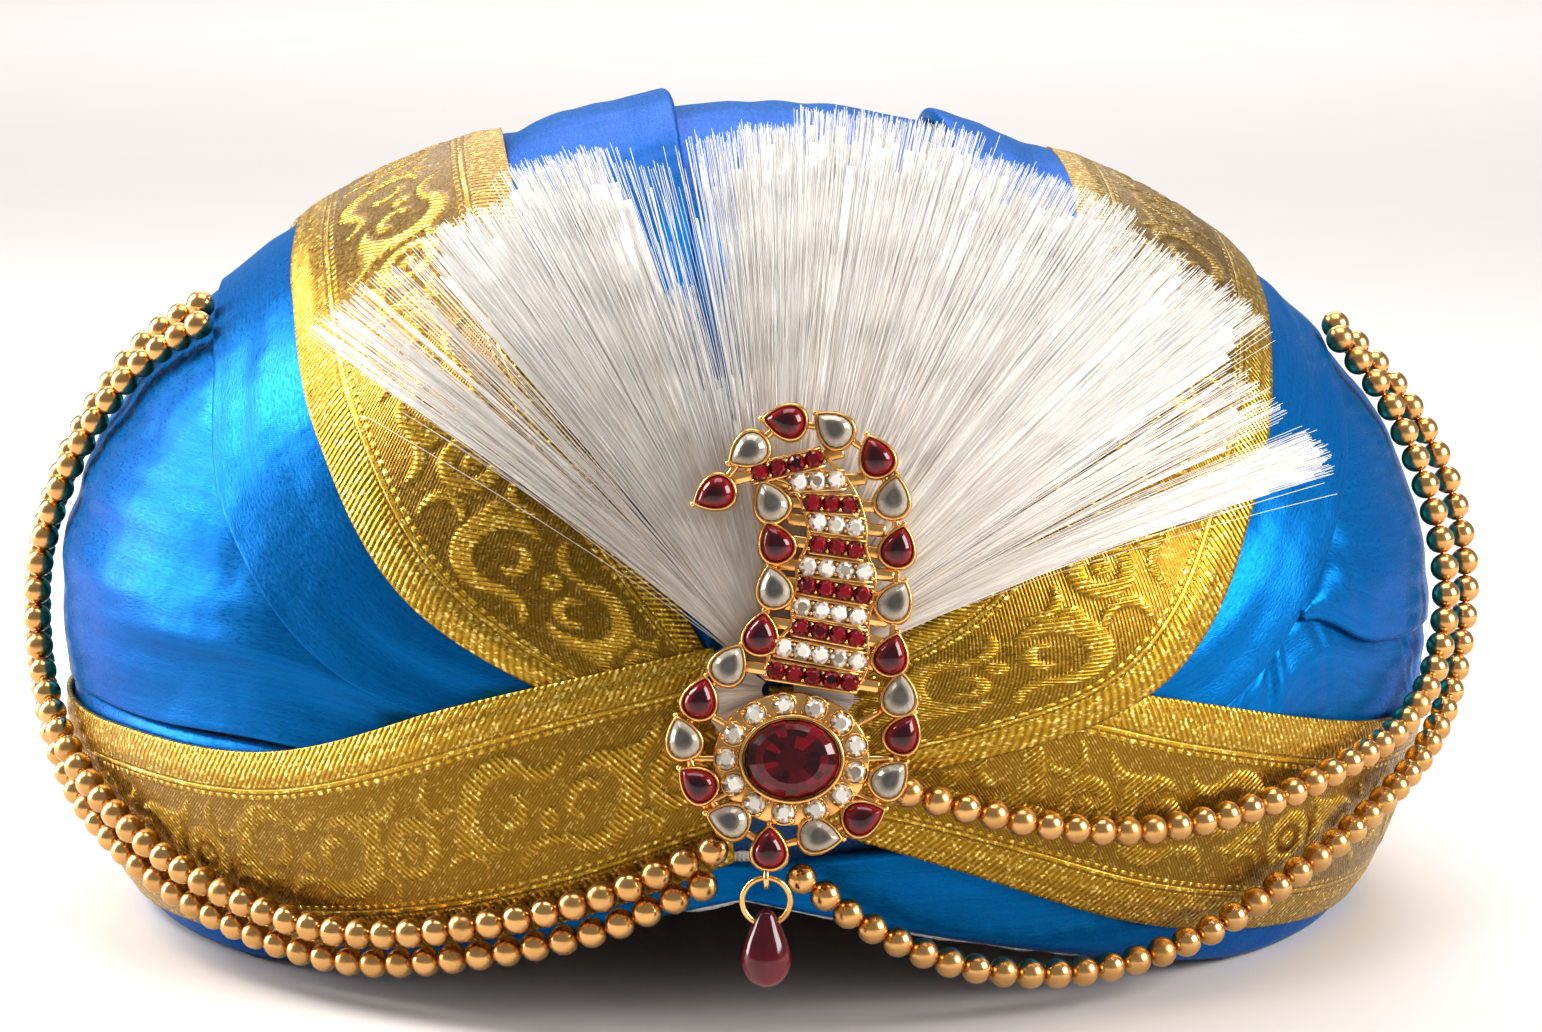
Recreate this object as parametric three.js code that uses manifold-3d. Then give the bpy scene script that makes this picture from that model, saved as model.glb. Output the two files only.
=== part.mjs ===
// A ready-tied turban (pagri): a hollow padded crown wound in blue satin, with gold lace bands,
// strings of gold beads, a fan of white fibre and a jewelled brooch with a swinging drop.
// Millimetres, +Z up. The brooch faces -Y and the turban rests on its rim at z = 0.
import * as THREE from "three";
import { mergeVertices } from "three/addons/utils/BufferGeometryUtils.js";
import Module from "manifold-3d";

const wasm = await Module();
wasm.setup();
const { Manifold } = wasm;

// Driving sizes
const DOME = { halfWidth: 144.5, frontDepth: 121.5, backDepth: 136.5, topHeight: 105.5, lowHeight: 132 };
const CENTRE = new THREE.Vector3(-1.3, 3, 62);
const ARCH = { height: 27, halfBearing: 55, sharpness: 1.3, coreRise: 1.06, wrapRise: 0.98 };
const HEAD = { halfWidth: 82.5, halfDepth: 98, centreDepth: 6.5, wallHeight: 40, top: 128 };
const FLOOR_CLEARANCE = 0.6;
const LIFT = { crown: -0.7, lining: -0.3, satin: 1.0, wrap: 1.6, lace: 4.6, laceOver: 6.6 };
const THICKNESS = { lining: 0.8, wrap: 1.8, satin: 1.8, lace: 1.0 };
const SIDE_GAP = 0.35;
const STONE_GAP = 0.3;
const STRAND = { radius: 3, sides: 8, steps: 18 };
const STEPS = { bearings: 32, wrapBearings: 42, along: 18, laceAlong: 24, laceAcross: 3 };

const COLOUR = {
  padding: 0xe8e2d4,
  lining: 0xf4f2ec,
  satin: 0x0f62d6,
  lace: 0xb08a1e,
  bead: 0xc9862e,
  fibre: 0xf6f3ea,
  setting: 0xd3a245,
  ruby: 0x7c0612,
  clear: 0xdfe4e6,
};

// Fold edges of the satin, front to nape: [bearing, rise] in degrees on the dome.
// Bearing 0 is the front and grows to the viewer's right, rise 0 is the widest level.
const FOLD_STATIONS = ["front", "brow", "cheek", "temple", "crown", "back", "nape"];
const FOLDS = {
  left_low: [[-14, -8.5], [-36.6, -3.8], [-55, -4], [-75, -4.2], [-92, -5], [-106, -8.5], [-116, -12]],
  left_pleat: [[-9, -4], [-31.6, 3.1], [-46, 17], [-62, 34], [-92, 40], [-120, 20], [-134, -12]],
  left_hidden: [[-6, -1], [-16, 17], [-31, 38], [-58, 57], [-105, 60], [-140, 28], [-148, -12]],
  left_roll: [[-2.5, 6], [-4, 37], [-16, 70], [-130, 81], [-166, 50], [-168, 19], [-169, -12]],
  right_roll: [[2.5, 6], [14, 37], [45, 65], [107, 73.5], [156, 50], [163, 19], [166, -12]],
  right_hidden: [[6, -1], [24, 14], [40, 33], [66, 50], [105, 52], [136, 25], [148, -12]],
  right_pleat: [[9, -4], [39.7, -0.8], [49.1, 7.2], [62, 20], [84, 33], [115, 25], [132, -12]],
  right_tuck: [[9.5, -4.6], [40, -1.4], [49.4, 6.6], [60, 2.5], [78, 0.7], [98, -2], [114, -11]],
  right_low: [[14, -10], [38, -10], [55, -11], [72, -12], [90, -12], [104, -12], [115, -12.5]],
};

// Satin wraps between two fold edges. The folded edge is the thick one that lies on its neighbour,
// the puff is the swell in the middle, the start is the number of the first fold station and the
// strips are the flat widths it is made in.
const WRAPS = [
  ["left_wrap_wide", "left_low", "left_pleat", 2.2, 2.0, 0, 5],
  ["left_wrap_inner", "left_pleat", "left_hidden", 3.2, 0.4, 0, 2],
  ["left_wrap_top", "left_roll", "left_hidden", 6.0, 0.4, 0, 4],
  ["centre_wrap", "left_roll", "right_roll", 1.8, 0.6, 0, 3],
  ["right_wrap_top", "right_roll", "right_hidden", 5.0, 0.6, 0, 4],
  ["right_wrap_inner", "right_pleat", "right_hidden", 3.4, 0.4, 0, 2],
  ["right_wrap_wide", "right_tuck", "right_pleat", 2.6, 1.6, 2, 4],
  ["right_wrap_low", "right_tuck", "right_low", 1.8, 0.5, 0, 2],
].map(([name, folded, tucked, fold, puff, start, strips]) => (
  { name, folded, tucked, fold, puff, start, strips }
));

// Gold lace bands between two edges, front to nape as above. A raised band lies over another band
// near the brooch: it comes down between the two stations given.
const LACE = [
  {
    name: "left_loop_band",
    outer: [[-6, -2], [-25.6, 10.4], [-39.2, 26.7], [-57, 42], [-92, 49], [-125, 25], [-138, -9]],
    inner: [[-2, 6], [-9, 22], [-20, 41], [-46, 63], [-115, 66], [-150, 34], [-158, -9]],
    raised: null,
  },
  {
    name: "right_loop_band",
    outer: [[7, -5], [32, 1.5], [46.5, 19.3], [65, 36], [97, 43], [125, 22], [138, -9]],
    inner: [[5, 5], [15, 13], [27, 32], [48, 52], [100, 63], [147, 36], [158, -9]],
    raised: { from: 1.3, to: 2.2 },
  },
  {
    name: "left_brow_band",
    outer: [[-2, 8], [-16.9, 3], [-38, -4.6], [-62, -6], [-92, -7], [-132, -10.5], [-176, -10.5]],
    inner: [[-0.5, -11], [-17, -18], [-38, -22.5], [-62, -24.2], [-92, -24.8], [-132, -25], [-176, -25]],
    raised: { from: 1.2, to: 2.2 },
  },
  {
    name: "right_brow_band",
    outer: [[2, 4], [20, 4], [38, -0.6], [60, -5.5], [90, -8], [132, -10.5], [176, -10.5]],
    inner: [[2, -7], [17.2, -13], [34, -19.7], [57, -24], [90, -24.8], [132, -25], [176, -25]],
    raised: null,
  },
];

// Upper edge of the wrap round the rim: [bearing, rise].
const WRAP_TOP = [
  [-180, -13.5], [-118, -13.5], [-106, -10.2], [-92, -6], [-75, -5], [-55, -4.8], [-36.6, -4.6],
  [-14, -9.3], [0, -12], [14, -11], [38, -11], [55, -12], [72, -13], [180, -13.5],
];

// Bead strings: [bearing, rise, lift of the bead centre over the crown], from the side to the brooch.
const STRANDS = {
  left_upper_strand: [
    [-65.5, 36.2, 7.6], [-73, 29, 8.4], [-78, 18, 8.8], [-81, 6, 9.6], [-79, -3, 9.6], [-70, -9, 9.5],
    [-58, -14, 9.5], [-46, -17.5, 9.6], [-33, -18.8, 11], [-20, -16.5, 11.4], [-10, -13.2, 11.6],
    [-5, -10.6, 11.8], [-1, -8.6, 12],
  ],
  left_lower_strand: [
    [-70, 38.2, 7.6], [-77, 31, 8.4], [-81.5, 19, 8.8], [-84.5, 6, 9.6], [-82, -4.5, 9.6], [-73, -12, 9.5],
    [-60, -17, 9.5], [-47, -20.4, 9.6], [-33, -21.6, 10.8], [-20, -19.3, 11], [-10, -16.1, 11.2],
    [-5.4, -13.6, 11.4], [-1.8, -11.6, 11.6],
  ],
  right_upper_strand: [
    [80, 33, 7.6], [79, 24, 8.6], [78, 14, 8.8], [76, 5, 9.4], [71, -2, 9.5], [63, -5.8, 9.5],
    [53, -7.6, 9.5], [42, -9.4, 9.5], [31, -9.8, 9.6], [22, -8.1, 11], [14.2, -5.6, 11.6],
    [10.8, -4.3, 11.8],
  ],
  right_lower_strand: [
    [84.5, 34, 7.6], [84.5, 24, 10.5], [85, 14, 12.4], [84, 4, 12.6], [79, -5, 11], [70, -9.6, 10],
    [60, -12.8, 9.6], [50, -16.3, 9.6], [39, -20.6, 9.8], [28, -22, 10.4], [17, -20, 11.2], [9, -15.6, 11.4],
    [5.6, -12.6, 11.6], [3.4, -10.8, 11.8],
  ],
};

// The plume: locks fanned about a root behind the brooch. Angles are counted from the right.
const PLUME = {
  bearing: 2.6, rise: 4, rootLift: 9.6, tipRise: 11, rootArc: 0.06,
  halfThickness: 0.8, fullness: 0.46, sections: 3,
  head: { halfWidth: 12, halfHeight: 12, halfThickness: 1.7, lift: 9.2 },
};
const TUFTS = [
  { from: 137, to: 131, reach: 0.85, locks: 2 },
  { from: 122, to: 113, reach: 0.885, locks: 2 },
  { from: 112.5, to: 103.5, reach: 0.945, locks: 2 },
  { from: 97, to: 86.5, reach: 0.96, locks: 2 },
  { from: 86.5, to: 71.5, reach: 1.01, locks: 3 },
  { from: 71.5, to: 56, reach: 0.955, locks: 3 },
  { from: 56, to: 39.5, reach: 0.915, locks: 3 },
  { from: 37, to: 32.5, reach: 0.81, locks: 1 },
  { from: 27.5, to: 23.5, reach: 0.84, locks: 1 },
];

// The brooch lies in a leaning plane: across, up and out from the middle of its oval stone.
const BROOCH = { bearing: 3.6, rise: 10.5, lift: 11.2, fall: 26, leanDegrees: 11.5, plate: 1.6 };
const PEAR = {
  stones: 24, bottom: 14, halfLength: 3.7, halfWidth: 2.9, height: 2.3, tilt: 20, rim: 0.8, sides: 8,
};
const OVAL = { halfWidth: 9, halfHeight: 7.5, height: 4.2, table: 0.62, sides: 16 };
const HALO = {
  stones: 13, halfWidth: 12.3, halfHeight: 10.1, radius: 2.0, height: 1.7, plate: 2.5, ring: 0.7,
};
const STRUTS = {
  degrees: [-28, 0, 28, 152, 180, 208], inner: 12, outer: 19, width: 1.6, height: 1, out: 0.7,
};
const ROW = { pitch: 3.5, radius: 1.94, height: 1.5, bar: 2.4, reach: 8, barOut: 1.4 };

// The paisley line through the pear stones: down from the tip of the hook to the bottom stone,
// with a station at every second stone, then up to the throat, with one every stone and a half.
const PAISLEY_DOWN = [
  [-14.6, 49.7], [-1.3, 63.3], [15.8, 56.8], [20, 39.8], [18.7, 19.6], [21, 4.8], [13.5, -10.9],
  [-4.2, -16.6],
];
const PAISLEY_UP = [
  [-4.2, -16.6], [-15.2, -8.4], [-20.4, 3.9], [-14.6, 14.8], [-5.8, 23.5], [-3, 36.7], [-4, 48.3],
];

// Rows of small stones down the stem, top to bottom; every other row is red.
const ROWS = [
  { across: -0.9, up: 55, tilt: 14, stones: 4 },
  { across: 4.8, up: 52.1, tilt: 3, stones: 3 },
  { across: 7.4, up: 47.8, tilt: -3, stones: 3 },
  { across: 8.4, up: 43.9, tilt: -7.5, stones: 3 },
  { across: 8.5, up: 39.7, tilt: -8, stones: 3 },
  { across: 8.3, up: 35.5, tilt: -6, stones: 4 },
  { across: 8.1, up: 31.6, tilt: -10, stones: 4 },
  { across: 7.2, up: 27.6, tilt: -10, stones: 4 },
  { across: 7.0, up: 23.6, tilt: -11, stones: 4 },
  { across: 5.4, up: 19.5, tilt: -10.5, stones: 5 },
  { across: 3.9, up: 15.4, tilt: -9, stones: 5 },
];

// The pendant: an eye on the brooch, a jump ring through it and a drop on the ring.
const EYE = { across: -4.8, up: -22.3, out: 0.8, radius: 1.65, wire: 0.55 };
const RING = { radius: 4.5, wire: 0.55, drill: 0.95 };
const DROP = { length: 15, radius: 4.75, drillDepth: 2.9 };
const DROP_PROFILE = [
  { down: 0, radius: 0 }, { down: 0.04, radius: 0.3 }, { down: 0.2, radius: 0.56 },
  { down: 0.42, radius: 0.86 }, { down: 0.64, radius: 1 }, { down: 0.84, radius: 0.82 },
  { down: 0.96, radius: 0.42 }, { down: 1, radius: 0 },
];

/** Unit direction on the dome for a bearing and a rise in degrees. */
function direction(bearing, rise) {
  const b = THREE.MathUtils.degToRad(bearing);
  const r = THREE.MathUtils.degToRad(rise);
  return new THREE.Vector3(Math.sin(b) * Math.cos(r), -Math.cos(b) * Math.cos(r), Math.sin(r));
}

/** Point a lift above the crown's surface in a direction from the dome's centre. */
function domePoint(toward, lift) {
  const depth = toward.y < 0 ? DOME.frontDepth : DOME.backDepth;
  const height = toward.z > 0 ? DOME.topHeight : DOME.lowHeight;
  const half = new THREE.Vector3(DOME.halfWidth, depth, height);
  const normal = toward.clone().divide(half).normalize();
  return toward.clone().multiply(half).addScaledVector(normal, lift).add(CENTRE);
}

/** Height of the front arch of the rim at a bearing. */
function archHeight(bearing) {
  const reach = Math.max(0, 1 - Math.abs(bearing) / ARCH.halfBearing);
  return ARCH.height * reach ** ARCH.sharpness;
}

/** Rise on the dome, in degrees, of a height above the floor below the widest level. */
function riseAtHeight(height) {
  return -THREE.MathUtils.radToDeg(Math.asin((CENTRE.z - height) / DOME.lowHeight));
}

/** Value at x in a table of [x, value] rows, eased between the rows. */
function eased(table, x) {
  const next = Math.max(1, table.findIndex((row) => row[0] >= x));
  const [x0, low] = table[next - 1];
  const [x1, high] = table[next];
  return low + (high - low) * THREE.MathUtils.smoothstep(x, x0, x1);
}

/** Equally spaced bearings all the way round, the first at the back. */
function bearingsAround(count) {
  return Array.from({ length: count }, (_, i) => -180 + (360 * i) / count);
}

/** Triangles that close an end ring of so many points. */
function capTriangles(count) {
  const triangles = [];
  let low = 0;
  let high = count - 1;
  while (high - low > 1) {
    triangles.push([low, low + 1, high]);
    low += 1;
    if (high - low > 1) {
      triangles.push([low, high - 1, high]);
      high -= 1;
    }
  }
  return triangles;
}

/** Geometry from points and triangles, turned so that its faces look outward. */
function outwardGeometry(points, triangles) {
  let volume = 0;
  for (const [a, b, c] of triangles) {
    volume += points[a].dot(new THREE.Vector3().crossVectors(points[b], points[c]));
  }
  const ordered = volume < 0 ? triangles.map(([a, b, c]) => [a, c, b]) : triangles;
  const geometry = new THREE.BufferGeometry().setFromPoints(points);
  geometry.setIndex(ordered.flat());
  return geometry;
}

/** Closed solid through rings of points. It joins on itself, or is closed by caps or by poles. */
function loft(rings, { joined = false, poles = null } = {}) {
  const size = rings[0].length;
  const points = rings.flat();
  const triangles = [];
  const spans = joined ? rings.length : rings.length - 1;
  for (let i = 0; i < spans; i += 1) {
    const here = i * size;
    const there = ((i + 1) % rings.length) * size;
    for (let j = 0; j < size; j += 1) {
      const k = (j + 1) % size;
      triangles.push([here + j, here + k, there + k], [here + j, there + k, there + j]);
    }
  }
  const last = (rings.length - 1) * size;
  if (poles) {
    points.push(...poles);
    for (let j = 0; j < size; j += 1) {
      const k = (j + 1) % size;
      triangles.push([points.length - 2, k, j], [points.length - 1, last + j, last + k]);
    }
  } else if (!joined) {
    for (const [a, b, c] of capTriangles(size)) {
      triangles.push([a, c, b], [last + a, last + b, last + c]);
    }
  }
  return outwardGeometry(points, triangles);
}

/** Three.js geometry as a manifold body, for joining and cutting. */
function toBody(geometry) {
  const bare = geometry.clone();
  bare.deleteAttribute("normal");
  bare.deleteAttribute("uv");
  const welded = mergeVertices(bare, 1e-4);
  return new Manifold(new wasm.Mesh({
    numProp: 3,
    vertProperties: new Float32Array(welded.attributes.position.array),
    triVerts: new Uint32Array(welded.index.array),
  }));
}

/** Manifold body as three.js geometry. */
function toGeometry(body) {
  const mesh = body.getMesh();
  const geometry = new THREE.BufferGeometry();
  geometry.setAttribute("position", new THREE.BufferAttribute(mesh.vertProperties, 3));
  geometry.setIndex(new THREE.BufferAttribute(mesh.triVerts, 1));
  return geometry;
}

/** One geometry joined from several. */
function fused(geometries) {
  return toGeometry(Manifold.union(geometries.map(toBody)));
}

/** Smooth curve of directions through [bearing, rise] stations. */
function edgeCurve(stations) {
  return new THREE.CatmullRomCurve3(stations.map(([bearing, rise]) => direction(bearing, rise)));
}

/**
 * Closed ribbon on the dome between two edge curves.
 * The lift and thickness are given by the share along it and the share across it.
 */
function ribbon(firstEdge, secondEdge, { start = 0, steps, strips, lift, thickness }) {
  const rings = [];
  for (let i = start; i <= steps; i += 1) {
    const along = i / steps;
    const first = firstEdge.getPoint(along).normalize();
    const second = secondEdge.getPoint(along).normalize();
    const width = domePoint(first, 0).distanceTo(domePoint(second, 0));
    const inset = Math.min(0.3, SIDE_GAP / width);
    const outside = [];
    const inside = [];
    for (let j = 0; j <= strips; j += 1) {
      const share = j / strips;
      const across = inset + (1 - 2 * inset) * share;
      const toward = first.clone().lerp(second, across).normalize();
      const base = lift(along);
      inside.unshift(domePoint(toward, base));
      outside.push(domePoint(toward, base + thickness(along, share)));
    }
    rings.push([...outside, ...inside]);
  }
  return loft(rings);
}

/** The padded crown: dome outside, head hollow inside, arched at the front of its rim. */
function crown() {
  const bearings = bearingsAround(STEPS.bearings);
  const rimHeight = (bearing) => ARCH.coreRise * archHeight(bearing);
  const rings = [];
  for (const share of [0.93, 0.84, 0.74, 0.63, 0.52, 0.41, 0.3, 0.2, 0.1, 0]) {
    rings.push(bearings.map((bearing) => {
      const rim = riseAtHeight(rimHeight(bearing));
      const point = domePoint(direction(bearing, rim + (90 - rim) * share), LIFT.crown);
      if (share === 0) point.z = rimHeight(bearing);
      return point;
    }));
  }
  const hollow = (bearing, share, height) => {
    const toward = direction(bearing, 0);
    const x = toward.x * HEAD.halfWidth * share;
    const y = toward.y * HEAD.halfDepth * share + HEAD.centreDepth;
    return new THREE.Vector3(x + CENTRE.x, y + CENTRE.y, height);
  };
  rings.push(bearings.map((bearing) => hollow(bearing, 1, rimHeight(bearing))));
  for (const degrees of [0, 22, 44, 64, 80]) {
    const angle = THREE.MathUtils.degToRad(degrees);
    const height = HEAD.wallHeight + (HEAD.top - HEAD.wallHeight) * Math.sin(angle);
    rings.push(bearings.map((bearing) => hollow(bearing, Math.cos(angle), height)));
  }
  const poles = [domePoint(direction(0, 90), LIFT.crown), hollow(0, 0, HEAD.top)];
  return loft(rings, { poles });
}

/** Lower edge of the rim wrap at a bearing, as a height above the floor. */
function wrapEdge(bearing) {
  return FLOOR_CLEARANCE + ARCH.wrapRise * archHeight(bearing);
}

/** Point on the dome that is kept clear of the floor. */
function overFloor(bearing, rise, lift) {
  const point = domePoint(direction(bearing, rise), lift);
  point.z = Math.max(point.z, FLOOR_CLEARANCE);
  return point;
}

/** The satin wrap right round the rim. */
function baseWrap() {
  const rings = bearingsAround(STEPS.wrapBearings).map((bearing) => {
    const low = riseAtHeight(wrapEdge(bearing));
    const high = eased(WRAP_TOP, bearing);
    const middle = (low + high) / 2;
    const outer = LIFT.wrap + THICKNESS.wrap;
    return [
      overFloor(bearing, low, outer - 0.4),
      overFloor(bearing, middle, outer),
      overFloor(bearing, high, outer - 0.4),
      overFloor(bearing, high, LIFT.wrap),
      overFloor(bearing, middle, LIFT.wrap),
      overFloor(bearing, low, LIFT.wrap),
    ];
  });
  return loft(rings, { joined: true });
}

/** The white lining whose edge shows under the satin along the front arch. */
function rimLining() {
  const rings = [];
  for (let bearing = -28; bearing <= 44; bearing += 4) {
    const shown = 1.6 * Math.min(1, archHeight(bearing) / 8);
    const low = riseAtHeight(wrapEdge(bearing) - shown);
    const high = riseAtHeight(wrapEdge(bearing) + 9);
    const outer = LIFT.lining + THICKNESS.lining;
    rings.push([
      overFloor(bearing, low, outer),
      overFloor(bearing, high, outer),
      overFloor(bearing, high, LIFT.lining),
      overFloor(bearing, low, LIFT.lining),
    ]);
  }
  return loft(rings);
}

/** One satin wrap from its row in the table. */
function satinWrap(wrap) {
  const stations = FOLD_STATIONS.length - 1;
  return ribbon(edgeCurve(FOLDS[wrap.folded]), edgeCurve(FOLDS[wrap.tucked]), {
    start: (wrap.start * STEPS.along) / stations,
    steps: STEPS.along,
    strips: wrap.strips,
    lift: () => LIFT.satin,
    thickness: (along, share) => {
      const fullness = Math.sin(Math.PI * along) ** 2;
      const roll = (wrap.fold - THICKNESS.satin) * (1 - share) ** 2;
      return THICKNESS.satin + fullness * (roll + wrap.puff * Math.sin(Math.PI * share));
    },
  });
}

/** One gold lace band from its row in the table. */
function laceBand(band) {
  const stations = FOLD_STATIONS.length - 1;
  return ribbon(edgeCurve(band.outer), edgeCurve(band.inner), {
    steps: STEPS.laceAlong,
    strips: STEPS.laceAcross,
    lift: (along) => {
      if (!band.raised) return LIFT.lace;
      const lowered = THREE.MathUtils.smoothstep(along * stations, band.raised.from, band.raised.to);
      return THREE.MathUtils.lerp(LIFT.laceOver, LIFT.lace, lowered);
    },
    thickness: () => THICKNESS.lace,
  });
}

/** A bead string as a plain round tube along its line. */
function strandTube(stations) {
  const line = stations.map(([bearing, rise, lift]) => domePoint(direction(bearing, rise), lift));
  const circle = new THREE.Shape().absarc(0, 0, STRAND.radius, 0, 2 * Math.PI);
  return new THREE.ExtrudeGeometry(circle, {
    steps: STRAND.steps,
    curveSegments: STRAND.sides / 2,
    extrudePath: new THREE.CatmullRomCurve3(line),
  });
}

/** One flat lock of the plume, in a direction of the fan and as long as its reach. */
function plumeLock(degrees, spread, reach) {
  const root = direction(PLUME.bearing, PLUME.rise);
  const right = new THREE.Vector3(0, 0, 1).cross(root).normalize();
  const up = root.clone().cross(right);
  const angle = THREE.MathUtils.degToRad(degrees);
  const heading = right.clone().multiplyScalar(Math.cos(angle)).addScaledVector(up, Math.sin(angle));
  const aside = right.clone().multiplyScalar(-Math.sin(angle)).addScaledVector(up, Math.cos(angle));
  const rings = [];
  for (let i = 0; i <= PLUME.sections; i += 1) {
    const share = i / PLUME.sections;
    const arc = THREE.MathUtils.lerp(PLUME.rootArc, reach, share);
    const toward = root.clone().multiplyScalar(Math.cos(arc)).addScaledVector(heading, Math.sin(arc));
    const lift = PLUME.rootLift + PLUME.tipRise * share ** 1.5;
    const halfWidth = PLUME.fullness * spread * Math.sin(arc) * DOME.frontDepth;
    const centre = domePoint(toward, lift);
    const outward = domePoint(toward, lift + 1).sub(centre);
    const corner = (side, out) => centre.clone()
      .addScaledVector(aside, side * halfWidth)
      .addScaledVector(outward, out * PLUME.halfThickness);
    rings.push([corner(-1, -1), corner(1, -1), corner(1, 1), corner(-1, 1)]);
  }
  return loft(rings);
}

/** The plume: every lock of every tuft fused to a flat head. */
function plume() {
  const locks = [];
  for (const tuft of TUFTS) {
    const pitch = (tuft.to - tuft.from) / tuft.locks;
    for (let i = 0; i < tuft.locks; i += 1) {
      const degrees = tuft.from + pitch * (i + 0.5);
      const reach = tuft.reach * (i % 2 ? 0.97 : 1);
      locks.push(plumeLock(degrees, THREE.MathUtils.degToRad(Math.abs(pitch)), reach));
    }
  }
  const { halfWidth, halfHeight, halfThickness, lift } = PLUME.head;
  const head = new THREE.SphereGeometry(1, 12, 6).scale(halfWidth, halfThickness, halfHeight);
  const at = domePoint(direction(PLUME.bearing, PLUME.rise), lift);
  head.rotateX(-THREE.MathUtils.degToRad(PLUME.rise)).translate(at.x, at.y, at.z);
  return fused([head, ...locks]);
}

/** Matrix from the brooch's across, up and out to the turban's frame. */
function broochMatrix() {
  const lean = THREE.MathUtils.degToRad(BROOCH.leanDegrees);
  const across = new THREE.Vector3(1, 0, 0);
  const up = new THREE.Vector3(0, Math.sin(lean), Math.cos(lean));
  const out = across.clone().cross(up);
  const top = domePoint(direction(BROOCH.bearing, BROOCH.rise), BROOCH.lift);
  const origin = top.addScaledVector(up, -BROOCH.fall);
  return new THREE.Matrix4().makeBasis(across, up, out).setPosition(origin);
}

const TO_TURBAN = broochMatrix();

/** Ring of points round an outline in the brooch's plane. */
function outlineRing(outline, scale, out) {
  return outline.map((point) => new THREE.Vector3(point.x * scale, point.y * scale, out));
}

/** Ellipse outline with so many sides. */
function ellipse(halfWidth, halfHeight, sides) {
  return Array.from({ length: sides }, (_, i) => {
    const angle = (2 * Math.PI * (i + 0.5)) / sides;
    return new THREE.Vector2(halfWidth * Math.cos(angle), halfHeight * Math.sin(angle));
  });
}

/** Pear outline, its tip up, grown by a rim. */
function pearOutline(rim) {
  return Array.from({ length: PEAR.sides }, (_, i) => {
    const angle = (2 * Math.PI * i) / PEAR.sides;
    const slim = 1 - 0.34 * Math.cos(angle);
    const x = (PEAR.halfWidth + rim) * Math.sin(angle) * slim;
    return new THREE.Vector2(x, (PEAR.halfLength + rim) * Math.cos(angle));
  });
}

/** Cut stone on an outline: a sloping facet on every side and a flat table. */
function cutStone(outline, base, height, table) {
  return loft([outlineRing(outline, 1, base), outlineRing(outline, table, base + height)]);
}

/** Flat plate on an outline. */
function plate(outline, base, height) {
  return loft([outlineRing(outline, 1, base), outlineRing(outline, 1, base + height)]);
}

/** Smooth line through stations in the brooch's plane. */
function broochLine(stations) {
  return new THREE.CatmullRomCurve3(stations.map(([across, up]) => new THREE.Vector3(across, up, 0)));
}

/** Where each pear stone sits on the paisley line, with its tip turned up and a little outward. */
function pearPlaces() {
  const down = broochLine(PAISLEY_DOWN);
  const up = broochLine(PAISLEY_UP);
  return Array.from({ length: PEAR.stones }, (_, i) => {
    const falling = i <= PEAR.bottom;
    const line = falling ? down : up;
    const share = falling ? i / PEAR.bottom : (i - PEAR.bottom) / (PEAR.stones - 1 - PEAR.bottom);
    const rising = line.getTangent(share).multiplyScalar(falling ? -1 : 1);
    const tilt = THREE.MathUtils.degToRad(falling ? -PEAR.tilt : PEAR.tilt);
    const turn = Math.atan2(rising.y, rising.x) - Math.PI / 2 + tilt;
    return { at: line.getPoint(share), turn: i === PEAR.bottom ? 0 : turn };
  });
}

const PEAR_PLACES = pearPlaces();

/** One pear stone. */
function pearStone({ at, turn }) {
  const stone = cutStone(pearOutline(0), BROOCH.plate + STONE_GAP, PEAR.height, 0.5);
  return stone.rotateZ(turn).translate(at.x, at.y, 0);
}

/** Points of the halo, evenly round its ellipse. */
function haloPlaces() {
  return ellipse(HALO.halfWidth, HALO.halfHeight, HALO.stones);
}

/** Flat elliptical ring in the brooch's plane. */
function ellipseRing(halfWidth, halfHeight, width, base, height) {
  const shape = new THREE.Shape(ellipse(halfWidth + width, halfHeight + width, HALO.stones));
  shape.holes.push(new THREE.Path(ellipse(halfWidth - width, halfHeight - width, HALO.stones)));
  return new THREE.ExtrudeGeometry(shape, { depth: height, bevelEnabled: false }).translate(0, 0, base);
}

/** The halo: round stones fused to one thin ring. */
function haloStones() {
  const base = BROOCH.plate + STONE_GAP;
  const ring = ellipseRing(HALO.halfWidth, HALO.halfHeight, HALO.ring, base, 0.6);
  const stones = haloPlaces().map((at) => (
    cutStone(ellipse(HALO.radius, HALO.radius, 8), base, HALO.height, 0.55).translate(at.x, at.y, 0)
  ));
  return fused([ring, ...stones]);
}

/** One row of small stones, fused where their girdles touch. */
function stoneRow(row) {
  const stones = Array.from({ length: row.stones }, (_, i) => {
    const stone = cutStone(ellipse(ROW.radius, ROW.radius, 8), ROW.barOut + STONE_GAP, ROW.height, 0.5);
    return stone.translate((i - (row.stones - 1) / 2) * ROW.pitch, 0, 0);
  });
  return fused(stones).rotateZ(THREE.MathUtils.degToRad(row.tilt)).translate(row.across, row.up, 0);
}

/** Flat strut in the brooch's plane between two points. */
function strut(from, to) {
  const along = new THREE.Vector2(to.x - from.x, to.y - from.y);
  const bar = new THREE.BoxGeometry(along.length(), STRUTS.width, STRUTS.height).rotateZ(along.angle());
  return bar.translate((from.x + to.x) / 2, (from.y + to.y) / 2, STRUTS.out);
}

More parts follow.
